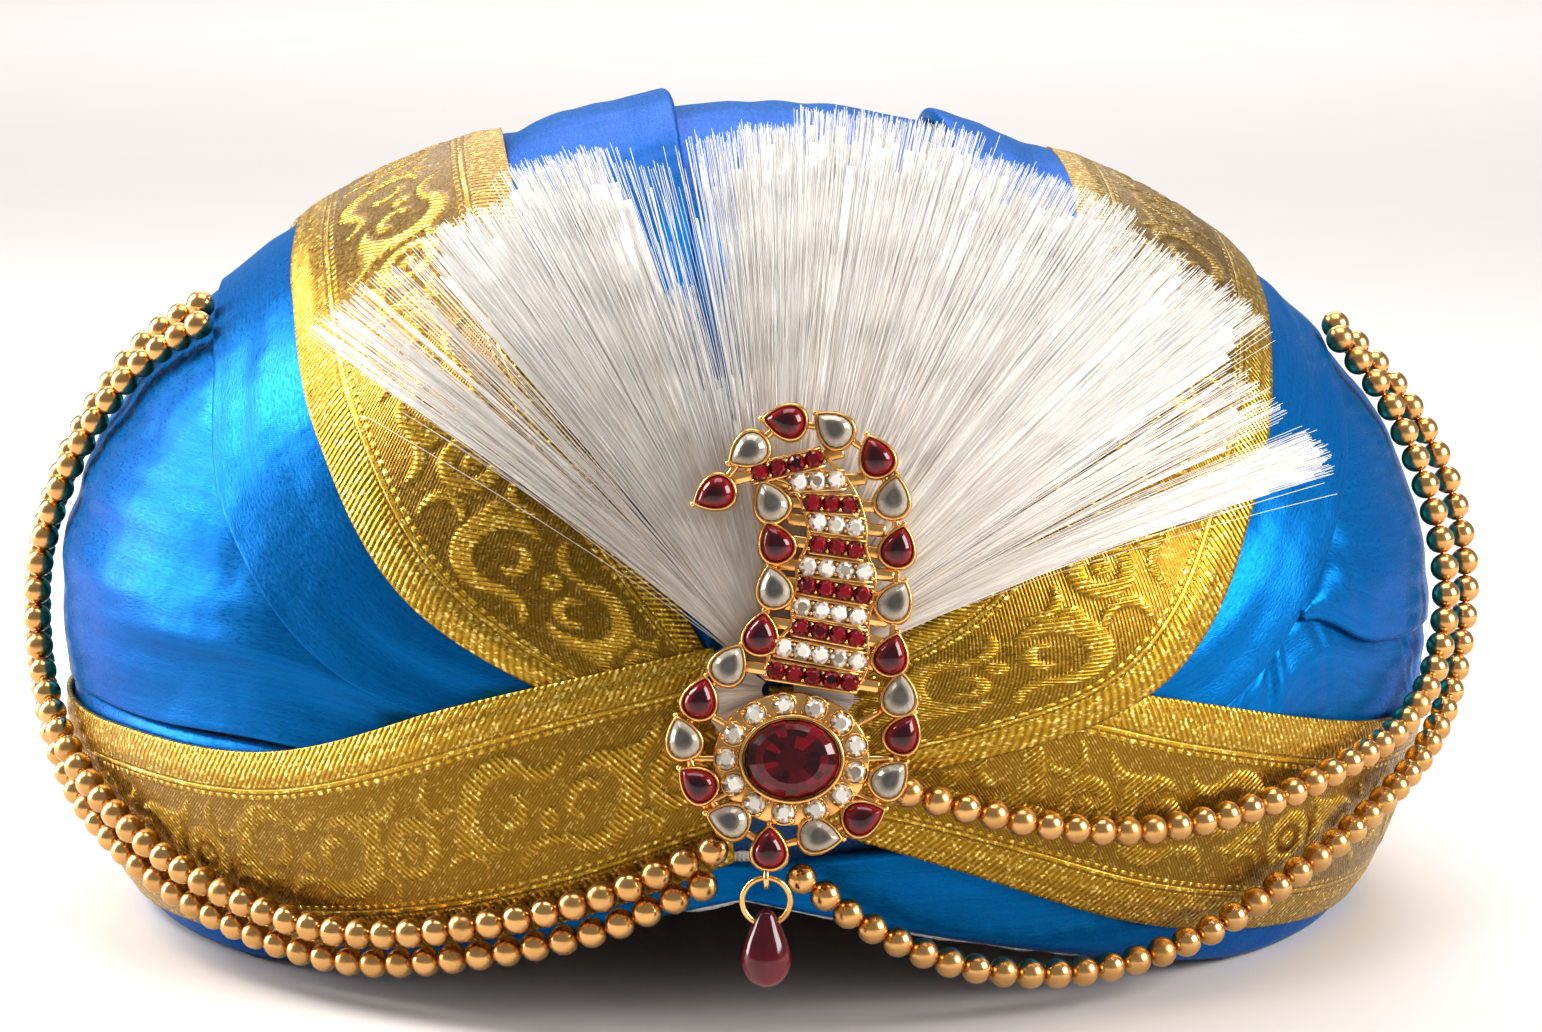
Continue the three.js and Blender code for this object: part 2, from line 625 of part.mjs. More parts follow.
/** The brooch's metal: pear plates, oval plate, struts, stem bars and the eye, soldered into one. */
function broochSetting() {
  const pieces = PEAR_PLACES.map(({ at, turn }) => (
    plate(pearOutline(PEAR.rim), 0, BROOCH.plate).rotateZ(turn).translate(at.x, at.y, 0)
  ));
  const ovalPlate = ellipse(HALO.halfWidth + HALO.plate, HALO.halfHeight + HALO.plate, 24);
  pieces.push(plate(ovalPlate, 0, BROOCH.plate));
  for (let i = 1; i < PEAR_PLACES.length; i += 1) {
    pieces.push(strut(PEAR_PLACES[i - 1].at, PEAR_PLACES[i].at));
  }
  for (const degrees of STRUTS.degrees) {
    const angle = THREE.MathUtils.degToRad(degrees);
    const spoke = new THREE.Vector2(Math.cos(angle), Math.sin(angle));
    const inner = spoke.clone().multiplyScalar(STRUTS.inner);
    pieces.push(strut(inner, spoke.multiplyScalar(STRUTS.outer)));
  }
  for (const row of ROWS) {
    const bar = new THREE.BoxGeometry(row.stones * ROW.pitch + ROW.reach, ROW.bar, ROW.barOut - 0.2);
    bar.translate(0, 0, ROW.barOut / 2 + 0.1).rotateZ(THREE.MathUtils.degToRad(row.tilt));
    pieces.push(bar.translate(row.across, row.up, 0));
  }
  const eye = new THREE.TorusGeometry(EYE.radius, EYE.wire, 6, 12).rotateY(Math.PI / 2);
  pieces.push(eye.translate(EYE.across, EYE.up, EYE.out));
  return fused(pieces);
}

/** Middle of the brooch's eye, where the pendant hangs and swings. */
function eyeCentre() {
  return new THREE.Vector3(EYE.across, EYE.up, EYE.out).applyMatrix4(TO_TURBAN);
}

/** A wire ring that hangs from the eye in the upright plane across the front. */
function hangingRing(wire) {
  const at = eyeCentre();
  const ring = new THREE.TorusGeometry(RING.radius, wire, 6, 24).rotateX(Math.PI / 2);
  return ring.translate(at.x, at.y, at.z - RING.radius);
}

/** The drop, drilled near its tip along the curve of the ring. */
function dropBead() {
  const at = eyeCentre();
  const top = at.z - 2 * RING.radius + DROP.drillDepth;
  const profile = [...DROP_PROFILE].reverse().map(({ down, radius }) => (
    new THREE.Vector2(radius * DROP.radius, top - down * DROP.length)
  ));
  const body = new THREE.LatheGeometry(profile, 12).rotateX(Math.PI / 2).translate(at.x, at.y, 0);
  return toGeometry(toBody(body).subtract(toBody(hangingRing(RING.drill))));
}

const turban = new THREE.Group();
turban.name = "tied_turban_pagri";

/** Adds one named piece with its own material. */
function add(name, geometry, colour, metalness = 0) {
  const material = new THREE.MeshStandardMaterial({ color: colour, metalness, roughness: 0.45 });
  const mesh = new THREE.Mesh(geometry, material);
  mesh.name = name;
  turban.add(mesh);
}

/** Adds one piece of the brooch, moved from the brooch's plane to the turban. */
function addToBrooch(name, geometry, colour, metalness = 0) {
  add(name, geometry.applyMatrix4(TO_TURBAN), colour, metalness);
}

add("crown", crown(), COLOUR.padding);
add("rim_lining", rimLining(), COLOUR.lining);
add("base_wrap", baseWrap(), COLOUR.satin);
for (const wrap of WRAPS) add(wrap.name, satinWrap(wrap), COLOUR.satin);
for (const band of LACE) add(band.name, laceBand(band), COLOUR.lace, 0.6);
for (const [name, stations] of Object.entries(STRANDS)) add(name, strandTube(stations), COLOUR.bead, 1);
add("plume", plume(), COLOUR.fibre);
addToBrooch("brooch_setting", broochSetting(), COLOUR.setting, 1);
addToBrooch("oval_stone", cutStone(
  ellipse(OVAL.halfWidth, OVAL.halfHeight, OVAL.sides), BROOCH.plate + STONE_GAP, OVAL.height, OVAL.table,
), COLOUR.ruby);
PEAR_PLACES.forEach((place, i) => {
  const name = `pear_stone_${String(i + 1).padStart(2, "0")}`;
  addToBrooch(name, pearStone(place), i % 2 ? COLOUR.clear : COLOUR.ruby);
});
addToBrooch("halo_stones", haloStones(), COLOUR.clear);
ROWS.forEach((row, i) => {
  const name = `stone_row_${String(i + 1).padStart(2, "0")}`;
  addToBrooch(name, stoneRow(row), i % 2 ? COLOUR.clear : COLOUR.ruby);
});
add("jump_ring", hangingRing(RING.wire), COLOUR.setting, 1);
add("drop_bead", dropBead(), COLOUR.ruby);

export default turban;
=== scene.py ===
"""Dresses the tied turban (pagri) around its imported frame.

Blue satin wraps and gold lace bands lie on a padded hollow crown. Bead strings, a fan of white fibre,
a jewelled brooch and its swinging pendant are set on them. Sizes are in millimetres and degrees, in
the frame of the part, and become metres when a mesh is made.
"""

from __future__ import annotations

import logging
import math
from collections.abc import Callable
from dataclasses import dataclass
from enum import Enum

import bpy
import numpy as np
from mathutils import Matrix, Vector

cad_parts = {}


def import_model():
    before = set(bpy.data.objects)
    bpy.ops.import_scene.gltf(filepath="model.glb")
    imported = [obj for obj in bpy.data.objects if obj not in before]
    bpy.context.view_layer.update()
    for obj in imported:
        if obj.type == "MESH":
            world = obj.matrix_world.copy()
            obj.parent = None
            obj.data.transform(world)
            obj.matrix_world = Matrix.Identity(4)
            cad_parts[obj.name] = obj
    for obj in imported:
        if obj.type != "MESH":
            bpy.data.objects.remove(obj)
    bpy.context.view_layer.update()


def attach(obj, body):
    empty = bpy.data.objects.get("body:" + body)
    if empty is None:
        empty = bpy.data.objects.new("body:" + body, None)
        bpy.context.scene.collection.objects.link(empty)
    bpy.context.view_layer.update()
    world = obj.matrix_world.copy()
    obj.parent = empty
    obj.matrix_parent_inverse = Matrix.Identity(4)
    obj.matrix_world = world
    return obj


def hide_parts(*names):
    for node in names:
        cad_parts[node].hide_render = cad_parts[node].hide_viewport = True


LOG = logging.getLogger("turban")
MM = 0.001
DETAIL = "detail"

Array = np.ndarray
Colour = tuple[float, float, float, float]
Table = tuple[tuple[float, ...], ...]
Socket = bpy.types.NodeSocket


class Body(str, Enum):
    """Bodies of the frame that a piece can ride on."""

    TURBAN = "turban"
    PENDANT = "pendant"


class Slot(str, Enum):
    """Material slots of the record."""

    PADDING = "padding"
    LINING = "lining"
    SATIN = "satin"
    LACE = "lace"
    BEAD = "bead"
    FIBRE = "fibre"
    SETTING = "setting"
    RUBY = "ruby"
    CLEAR = "clear_stone"


class Hold(str, Enum):
    """Ways in which a sheet of cloth is held."""

    STRETCHED = "stretched"
    FOLDED = "folded"
    LAID = "laid"


# Curves and meshes


def unit(vectors: Array) -> Array:
    """Vectors scaled to a length of one."""
    return vectors / np.linalg.norm(vectors, axis=-1, keepdims=True)


def eased(low: float, high: float, value: Array | float) -> Array:
    """Eased share, from 0 to 1, of a value between two limits."""
    share = np.clip((np.asarray(value, float) - low) / (high - low), 0.0, 1.0)
    return share * share * (3 - 2 * share)


def smooth_line(stations: Array, shares: Array) -> Array:
    """Centripetal Catmull-Rom curve through stations.

    Args:
        stations: points that the curve passes through, one a row.
        shares: places along the curve, from 0 to 1, with the stations evenly spread.

    Returns:
        One point a row for each share.
    """
    before = 2 * stations[0] - stations[1]
    after = 2 * stations[-1] - stations[-2]
    chain = np.vstack([before, stations, after])
    spot = np.clip(shares, 0.0, 1.0) * (len(stations) - 1)
    first = np.minimum(spot.astype(int), len(stations) - 2)
    t = (spot - first)[:, None]
    p0, p1, p2, p3 = (chain[first + k] for k in range(4))
    d0, d1, d2 = (
        np.maximum(np.sqrt(np.linalg.norm(b - a, axis=1)), 1e-4)[:, None]
        for a, b in ((p0, p1), (p1, p2), (p2, p3))
    )
    leave = ((p1 - p0) / d0 - (p2 - p0) / (d0 + d1) + (p2 - p1) / d1) * d1
    arrive = ((p2 - p1) / d1 - (p3 - p1) / (d1 + d2) + (p3 - p2) / d2) * d1
    square = 3 * (p2 - p1) - 2 * leave - arrive
    cube = 2 * (p1 - p2) + leave + arrive
    return p1 + leave * t + square * t**2 + cube * t**3


def running_length(line: Array) -> Array:
    """Distance along a line of points from its first one."""
    return np.concatenate([[0.0], np.cumsum(np.linalg.norm(np.diff(line, axis=0), axis=1))])


@dataclass
class Shell:
    """Points in millimetres, faces by point number, and three detail values for each point."""

    points: Array
    faces: list[list[int]]
    detail: Array | None = None

    def details(self) -> Array:
        """Detail values, or zeros where the shell has none."""
        return np.zeros_like(self.points) if self.detail is None else self.detail

    def moved(self, axes: Array, shift: Array) -> Shell:
        """The shell in a frame whose axes are the rows of a matrix, then shifted."""
        return Shell(self.points @ axes + shift, self.faces, self.detail)


def joined(shells: list[Shell]) -> Shell:
    """One shell that holds several.

    Args:
        shells: the shells, each with its own point numbers.

    Returns:
        The shell, its points in the order of the list.
    """
    faces: list[list[int]] = []
    start = 0
    for shell in shells:
        faces += [[start + number for number in face] for face in shell.faces]
        start += len(shell.points)
    points = np.concatenate([shell.points for shell in shells])
    return Shell(points, faces, np.concatenate([shell.details() for shell in shells]))


def loft(rings: Array, closed: bool = False, detail: Array | None = None) -> Shell:
    """Closed shell through rings of points, its faces looking outward.

    Args:
        rings: points by ring, place on the ring and coordinate.
        closed: True where the last ring joins the first; otherwise flat caps close the ends.
        detail: three values for each point, in the order of the rings.

    Returns:
        The shell.
    """
    count, size, _ = rings.shape
    numbers = np.arange(count * size).reshape(count, size)
    here = numbers if closed else numbers[:-1]
    there = np.roll(numbers, -1, axis=0) if closed else numbers[1:]
    quads = np.stack([here, np.roll(here, -1, 1), np.roll(there, -1, 1), there], axis=-1).reshape(-1, 4)
    points = rings.reshape(-1, 3)
    a, b, c, d = (points[quads[:, k]] - points.mean(axis=0) for k in range(4))
    volume = (a * np.cross(b, c)).sum() + (a * np.cross(c, d)).sum()
    faces = quads.tolist()
    if not closed:
        faces += [numbers[0, ::-1].tolist(), numbers[-1].tolist()]
    if volume < 0:
        faces = [face[::-1] for face in faces]
    return Shell(points, faces, None if detail is None else detail.reshape(-1, 3))


def tube(line: Array, radius: float, sides: int, closed: bool = False) -> Shell:
    """Round tube along a line of points.

    Args:
        line: points along its middle, one a row.
        radius: radius of the tube.
        sides: number of its sides.
        closed: True where its end joins its start.

    Returns:
        The shell.
    """
    ahead = np.roll(line, -1, axis=0) - np.roll(line, 1, axis=0) if closed else np.gradient(line, axis=0)
    along = unit(ahead)
    aside = unit(np.cross(along, [0.31, 0.17, 0.93]))
    above = np.cross(along, aside)
    angles = np.linspace(0, 2 * np.pi, sides, endpoint=False)[:, None]
    rings = line[:, None] + radius * (np.cos(angles) * aside[:, None] + np.sin(angles) * above[:, None])
    return loft(rings, closed)


def ball(centre: Array | tuple[float, ...], radius: float, sides: int = 8) -> Shell:
    """Small round granule.

    Args:
        centre: its middle.
        radius: its radius.
        sides: number of sides round its axis.

    Returns:
        The shell.
    """
    rise = np.radians(np.linspace(-75, 75, sides // 2 + 1))[:, None]
    angle = np.linspace(0, 2 * np.pi, sides, endpoint=False)[None, :]
    level = np.sin(rise) + 0 * angle
    rings = np.stack([np.cos(rise) * np.cos(angle), np.cos(rise) * np.sin(angle), level], axis=-1)
    return loft(rings * radius + np.asarray(centre))


def make_piece(
    name: str, shell: Shell, finish: bpy.types.Material, nodes: list[str],
    body: Body = Body.TURBAN, smooth: bool = True,
) -> bpy.types.Object:
    """Mesh object from a shell, set on its body in place of its nodes.

    Args:
        name: the piece's name.
        shell: its shape.
        finish: its material.
        nodes: nodes of the frame that it stands for.
        body: the body that carries it.
        smooth: False for cut stones, whose facets stay flat.

    Returns:
        The piece.
    """
    mesh = bpy.data.meshes.new(name)
    mesh.from_pydata((shell.points * MM).tolist(), [], shell.faces)
    mesh.polygons.foreach_set("use_smooth", [smooth] * len(mesh.polygons))
    values = mesh.attributes.new(DETAIL, "FLOAT_VECTOR", "POINT")
    values.data.foreach_set("vector", shell.details().astype(np.float32).ravel())
    mesh.materials.append(finish)
    mesh.update()
    piece = bpy.data.objects.new(name, mesh)
    bpy.context.scene.collection.objects.link(piece)
    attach(piece, body.value)
    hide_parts(*nodes)
    LOG.info("%s: %d points, %d faces", name, len(mesh.vertices), len(mesh.polygons))
    return piece


class Ripple:
    """Soft seeded wobble of a cloth over its length and width."""

    WAVES = 9

    def __init__(self, seed: int, longest: float, shortest: float, lean: float) -> None:
        """Draws the waves.

        Args:
            seed: start of the random draw.
            longest: longest wave.
            shortest: shortest wave.
            lean: how far the waves turn from running along the cloth, in radians.
        """
        draw = np.random.default_rng(seed)
        self.lengths = np.geomspace(longest, shortest, self.WAVES)
        self.turns = draw.normal(0.0, lean, self.WAVES)
        self.phases = draw.uniform(0, 2 * np.pi, self.WAVES)

    def at(self, along: Array, across: Array) -> Array:
        """Height of the wobble.

        Args:
            along: places along the cloth.
            across: places across it.

        Returns:
            The height at each place, about -1 to 1.
        """
        total = np.zeros(np.broadcast(along, across).shape)
        for length, turn, phase in zip(self.lengths, self.turns, self.phases):
            reach = along * math.sin(turn) + across * math.cos(turn)
            total += length * np.sin(2 * np.pi * reach / length + phase)
        return total / (1.5 * self.lengths[0])


# Node trees


class NodeBench:
    """Places and links the nodes of one tree."""

    def __init__(self, tree: bpy.types.NodeTree) -> None:
        """Works on a tree."""
        self.tree = tree

    def feed(self, socket: Socket, value: object) -> None:
        """Links a socket to another one, or sets its value.

        Args:
            socket: the input that is fed.
            value: an output to link to it, or a plain value.
        """
        if isinstance(value, bpy.types.NodeSocket):
            self.tree.links.new(value, socket)
        else:
            socket.default_value = value

    def add(self, kind: str, feeds: dict | None = None, **settings: object) -> bpy.types.Node:
        """Adds a node.

        Args:
            kind: Blender's name for the type of node.
            feeds: what each input takes, by its name or number.
            settings: properties of the node.

        Returns:
            The node.
        """
        node = self.tree.nodes.new(kind)
        for name, value in settings.items():
            setattr(node, name, value)
        for name, value in (feeds or {}).items():
            self.feed(node.inputs[name], value)
        return node

    def maths(self, operation: str, *values: object) -> Socket:
        """Result of a sum on numbers or sockets."""
        return self.add("ShaderNodeMath", dict(enumerate(values)), operation=operation).outputs[0]

    def blend(self, share: object, first: object, second: object) -> Socket:
        """Colour between two colours."""
        return self.add("ShaderNodeMix", {0: share, 6: first, 7: second}, data_type="RGBA").outputs[2]

    def span(self, value: object, low: float, high: float, start: float, end: float) -> Socket:
        """Value moved from one range to another."""
        feeds = {"Value": value, "From Min": low, "From Max": high, "To Min": start, "To Max": end}
        return self.add("ShaderNodeMapRange", feeds).outputs[0]

    def vector(self, x: object, y: object, z: object = 0.0) -> Socket:
        """Vector from three values."""
        return self.add("ShaderNodeCombineXYZ", {0: x, 1: y, 2: z}).outputs[0]

    def noise(self, vector: object, scale: object, detail: float = 2.0) -> Socket:
        """Smooth noise at a vector, from 0 to 1."""
        feeds = {"Vector": vector, "Scale": scale, "Detail": detail}
        return self.add("ShaderNodeTexNoise", feeds).outputs[0]

    def place(self) -> Socket:
        """Place of the shaded point in the part's frame, in metres."""
        return self.add("ShaderNodeTexCoord").outputs["Object"]

    def detail(self) -> tuple[Socket, ...]:
        """The three detail values of the mesh."""
        values = self.add("ShaderNodeAttribute", attribute_name=DETAIL).outputs["Vector"]
        return tuple(self.add("ShaderNodeSeparateXYZ", {0: values}).outputs)

    def bump(self, height: object, depth: float) -> Socket:
        """Normal bent by a height from 0 to 1, of a depth in millimetres."""
        return self.add("ShaderNodeBump", {"Height": height, "Distance": depth * MM}).outputs[0]

    def group(self, tree: bpy.types.NodeTree, feeds: dict) -> bpy.types.bpy_prop_collection:
        """Outputs of a shader group placed in the tree."""
        return self.add("ShaderNodeGroup", feeds, node_tree=tree).outputs


def new_group(name: str, inputs: dict[str, float], outputs: list[str]) -> tuple[NodeBench, dict, dict]:
    """Empty shader group.

    Args:
        name: the group's name.
        inputs: its inputs with their usual values.
        outputs: names of its outputs.

    Returns:
        The bench to build it on, its inputs and its outputs, by name.
    """
    tree = bpy.data.node_groups.new(name, "ShaderNodeTree")
    for label, value in inputs.items():
        socket = tree.interface.new_socket(label, in_out="INPUT", socket_type="NodeSocketFloat")
        socket.default_value = value
    for label in outputs:
        tree.interface.new_socket(label, in_out="OUTPUT", socket_type="NodeSocketFloat")
    bench = NodeBench(tree)
    return bench, bench.add("NodeGroupInput").outputs, bench.add("NodeGroupOutput").inputs


def thread_weave() -> bpy.types.NodeTree:
    """Woven threads: slanted ribs, and streaks that run along the threads.

    Returns:
        A group from the place along and across the cloth to a rib height and a streak tone.
    """
    usual = {"Along": 0.0, "Across": 0.0, "Pitch": 0.6, "Slant": 0.7, "Streaks": 1.0}
    bench, given, made = new_group("thread_weave", usual, ["Rib", "Streak"])
    slanted = bench.maths("MULTIPLY_ADD", given["Across"], given["Slant"], given["Along"])
    turns = bench.maths("DIVIDE", slanted, given["Pitch"])
    wave = bench.maths("SINE", bench.maths("MULTIPLY", turns, 2 * math.pi))
    bench.feed(made["Rib"], bench.maths("MULTIPLY_ADD", wave, 0.5, 0.5))
    lengthwise = bench.vector(bench.maths("MULTIPLY", given["Along"], 0.06), given["Across"])
    bench.feed(made["Streak"], bench.noise(lengthwise, given["Streaks"], 4.0))
    return bench.tree


def worn_metal() -> bpy.types.NodeTree:
    """Wear of plated metal: soft dull patches and a fine grain.

    Returns:
        A group from patch and grain sizes, in patches for each metre, to a dullness and a grain.
    """
    bench, given, made = new_group("worn_metal", {"Patches": 90.0, "Grain": 1500.0}, ["Dull", "Grain"])
    patch = bench.noise(bench.place(), given["Patches"], 4.0)
    bench.feed(made["Dull"], bench.span(patch, 0.42, 0.72, 0.0, 1.0))
    bench.feed(made["Grain"], bench.noise(bench.place(), given["Grain"], 1.0))
    return bench.tree


@dataclass(frozen=True)
class Groups:
    """Shader groups that more than one finish uses."""

    weave: bpy.types.NodeTree
    wear: bpy.types.NodeTree


def new_material(
    name: str, constants: dict[str, object],
) -> tuple[bpy.types.Material, NodeBench, bpy.types.Node]:
    """Material with a plain shader.

    Args:
        name: the material's name.
        constants: values that are the same all over the surface, by the shader's socket names.

    Returns:
        The material, its bench and its shader.
    """
    material = bpy.data.materials.new(name)
    material.use_nodes = True
    shader = material.node_tree.nodes["Principled BSDF"]
    for label, value in constants.items():
        shader.inputs[label].default_value = value
    return material, NodeBench(material.node_tree), shader


@dataclass(frozen=True)
class SatinFinish:
    """Blue satin with a fine twill, a speckled gloss and long bright streaks."""

    deep: Colour = (0.0005, 0.054, 0.2, 1)
    bright: Colour = (0.001, 0.118, 0.35, 1)
    edge: Colour = (0.12, 0.38, 1.0, 1)
    sheen: Colour = (0.2, 0.6, 1.0, 1)
    twill_pitch: float = 0.55
    twill_slant: float = 0.8
    streaks: float = 1.1
    speckles: float = 1.9
    glossiest: float = 0.24
    dullest: float = 0.42
    thread_depth: float = 0.05
    crumples: float = 48.0
    crumple_depth: float = 1.1

    def make(self, groups: Groups) -> bpy.types.Material:
        """Makes the satin's material.

        Args:
            groups: shader groups shared by the finishes.

        Returns:
            The material.
        """
        constants = {
            "Metallic": 0.55, "Sheen Weight": 0.04, "Sheen Roughness": 0.3, "Sheen Tint": self.sheen,
            "Specular IOR Level": 0.08, "Specular Tint": self.edge,
        }
        material, bench, shader = new_material("blue_satin", constants)
        along, across, _ = bench.detail()
        feeds = {
            "Along": along, "Across": across, "Pitch": self.twill_pitch, "Slant": self.twill_slant,
            "Streaks": self.streaks,
        }
        weave = bench.group(groups.weave, feeds)
        tone = bench.span(weave["Streak"], 0.3, 0.7, 0.3, 0.7)
        bench.feed(shader.inputs["Base Color"], bench.blend(tone, self.deep, self.bright))
        drawn_out = bench.vector(bench.maths("MULTIPLY", along, 0.4), across)
        speckle = bench.noise(drawn_out, self.speckles, 1.0)
        gloss = bench.span(speckle, 0.3, 0.7, self.glossiest, self.dullest)
        bench.feed(shader.inputs["Roughness"], gloss)
        threads = bench.maths("MULTIPLY_ADD", weave["Rib"], 0.12, speckle)
        crumple = bench.bump(bench.noise(bench.place(), self.crumples, 2.0), self.crumple_depth)
        feeds = {"Height": threads, "Distance": self.thread_depth * MM, "Normal": crumple}
        bench.feed(shader.inputs["Normal"], bench.add("ShaderNodeBump", feeds).outputs[0])
        return material


@dataclass(frozen=True)
class LaceFinish:
    """Gold brocade lace: hatched motifs on a darker mesh between twilled borders, with metal glints."""

    ground: Colour = (0.15, 0.072, 0.003, 1)
    thread: Colour = (0.46, 0.26, 0.014, 1)
    glint: Colour = (1.0, 0.76, 0.2, 1)
    cell: float = 0.6
    border_at: float = 15.0
    cord_at: float = 14.2
    dots_at: float = 12.9
    hatch_pitch: float = 1.3
    mesh_pitch: float = 0.9
    dot_pitch: float = 2.3
    twill_pitch: float = 1.45
    twill_row: float = 3.4
    facet_depth: float = 0.2

    def make(self, groups: Groups) -> bpy.types.Material:
        """Makes the lace's material.

        Args:
            groups: shader groups shared by the finishes.

        Returns:
            The material.
        """
        material, bench, shader = new_material("gold_lace", {"Metallic": 0.88})
        along, side, relief = bench.detail()
        depth = bench.maths("ABSOLUTE", side)

        def ribs(first: Socket, second: Socket, pitch: float, slant: float) -> Socket:
            """Ribs of the weave across the first of two directions."""
            feeds = {"Along": first, "Across": second, "Pitch": pitch, "Slant": slant}
            return bench.group(groups.weave, feeds)["Rib"]

        def line(at: float) -> Socket:
            """Narrow line that runs along the band at a distance from its middle."""
            away = bench.maths("ABSOLUTE", bench.maths("SUBTRACT", depth, at))
            return bench.span(away, 0.3, 0.55, 1.0, 0.0)

        hatch = bench.span(ribs(along, side, self.hatch_pitch, 0.9), 0, 1, 0.15, 1.0)
        hatched = bench.maths("MULTIPLY", relief, hatch)
        mesh = bench.maths("MULTIPLY", ribs(along, side, self.mesh_pitch, -1.0), 0.24)
        dots = bench.maths("MULTIPLY", line(self.dots_at), ribs(along, depth, self.dot_pitch, 0.0))
        field = bench.maths("MAXIMUM", bench.maths("MAXIMUM", hatched, mesh), dots)
        rows = bench.span(ribs(depth, along, self.twill_row, 0.0), 0, 1, 0.7, 1.0)
        twill = bench.span(ribs(along, depth, self.twill_pitch, 0.6), 0, 1, 0.25, 1.0)
        rope = bench.maths("MULTIPLY", twill, rows)
        border = bench.span(depth, self.border_at, self.border_at + 0.3, 0, 1)
        bordered = bench.add("ShaderNodeMix", {0: border, 2: field, 3: rope}).outputs[0]
        lit = bench.maths("MAXIMUM", bordered, bench.maths("MULTIPLY", line(self.cord_at), 0.8))
        woven = bench.blend(lit, self.ground, self.thread)
        feeds = {"Vector": bench.vector(along, side), "Scale": 1 / self.cell}
        cells = bench.add("ShaderNodeTexVoronoi", feeds).outputs["Color"]
        chance = bench.add("ShaderNodeSeparateColor", {0: cells}).outputs
        sparkle = bench.maths("MULTIPLY", bench.span(chance[0], 0.78, 0.9, 0.0, 1.0), lit)
        bench.feed(shader.inputs["Base Color"], bench.blend(sparkle, woven, self.glint))
        bench.feed(shader.inputs["Roughness"], bench.span(chance[1], 0.0, 1.0, 0.22, 0.46))
        facet = bench.maths("MULTIPLY_ADD", chance[2], 0.7, lit)
        bench.feed(shader.inputs["Normal"], bench.bump(facet, self.facet_depth))
        return material


@dataclass(frozen=True)
class CottonFinish:
    """Plain woven cotton, which may be dyed where the third detail value says so."""

    name: str
    pale: Colour
    dark: Colour
    dyed: Colour
    pitch: float = 0.8
    streaks: float = 0.9
    thread_depth: float = 0.12

    def make(self, groups: Groups) -> bpy.types.Material:
        """Makes the cotton's material.

        Args:
            groups: shader groups shared by the finishes.

        Returns:
            The material.
        """
        material, bench, shader = new_material(self.name, {"Roughness": 0.85, "Sheen Weight": 0.2})
        along, across, dye = bench.detail()

        def woven(first: Socket, second: Socket) -> bpy.types.bpy_prop_collection:
            """Threads that lie across the first of two directions."""
            feeds = {
                "Along": first, "Across": second, "Pitch": self.pitch, "Slant": 0.0, "Streaks": self.streaks,
            }
            return bench.group(groups.weave, feeds)

        warp = woven(along, across)
        weft = woven(across, along)
        threads = bench.maths("MULTIPLY", warp["Rib"], weft["Rib"])
        plain = bench.blend(bench.maths("MULTIPLY", warp["Streak"], weft["Streak"]), self.dark, self.pale)
        bench.feed(shader.inputs["Base Color"], bench.blend(dye, plain, self.dyed))
        bench.feed(shader.inputs["Normal"], bench.bump(threads, self.thread_depth))
        return material


@dataclass(frozen=True)
class MetalFinish:
    """Plated metal with dull patches and a fine grain."""

    name: str
    bright: Colour
    dull: Colour
    smooth: float
    rough: float
    patches: float = 120.0
    grain: float = 1800.0
    grain_depth: float = 0.012

    def make(self, groups: Groups) -> bpy.types.Material:
        """Makes the metal's material.

        Args:
            groups: shader groups shared by the finishes.

        Returns:
            The material.
        """
        material, bench, shader = new_material(self.name, {"Metallic": 1.0})
        wear = bench.group(groups.wear, {"Patches": self.patches, "Grain": self.grain})
        bench.feed(shader.inputs["Base Color"], bench.blend(wear["Dull"], self.bright, self.dull))
        bench.feed(shader.inputs["Roughness"], bench.span(wear["Dull"], 0.0, 1.0, self.smooth, self.rough))
        bench.feed(shader.inputs["Normal"], bench.bump(wear["Grain"], self.grain_depth))
        return material


@dataclass(frozen=True)
class FibreFinish:
    """White cut fibre, with streaks along the locks, darker and creamier towards the root: a cream tint
    there, with painted shade where the fibres gather behind the brooch.
    """

    white: Colour = (0.74, 0.715, 0.68, 1)
    root_cream_and_shade: Colour = (0.6, 0.5, 0.4, 1)
    streaks: float = 4.5
    lock_contrast: float = 2.5
    streak_depth: float = 0.25

    def make(self) -> bpy.types.Material:
        """Makes the fibre's material.

        Returns:
            The material.
        """
        material, bench, shader = new_material("white_fibre", {"Roughness": 0.42, "Sheen Weight": 0.2})
        share, tone, across = bench.detail()
        lock = bench.maths("MULTIPLY", tone, self.lock_contrast)
        place = bench.vector(across, lock, bench.maths("MULTIPLY", share, 0.2))
        streak = bench.noise(place, self.streaks, 2.0)
        # Cream at the root, white towards the tip: the fibre's tint, with painted shade at the root.
        pale = bench.maths("MULTIPLY_ADD", share, 1.1, bench.span(streak, 0.35, 0.65, -0.45, 0.4))
        bench.feed(shader.inputs["Base Color"], bench.blend(pale, self.root_cream_and_shade, self.white))
        bench.feed(shader.inputs["Normal"], bench.bump(streak, self.streak_depth))
        return material


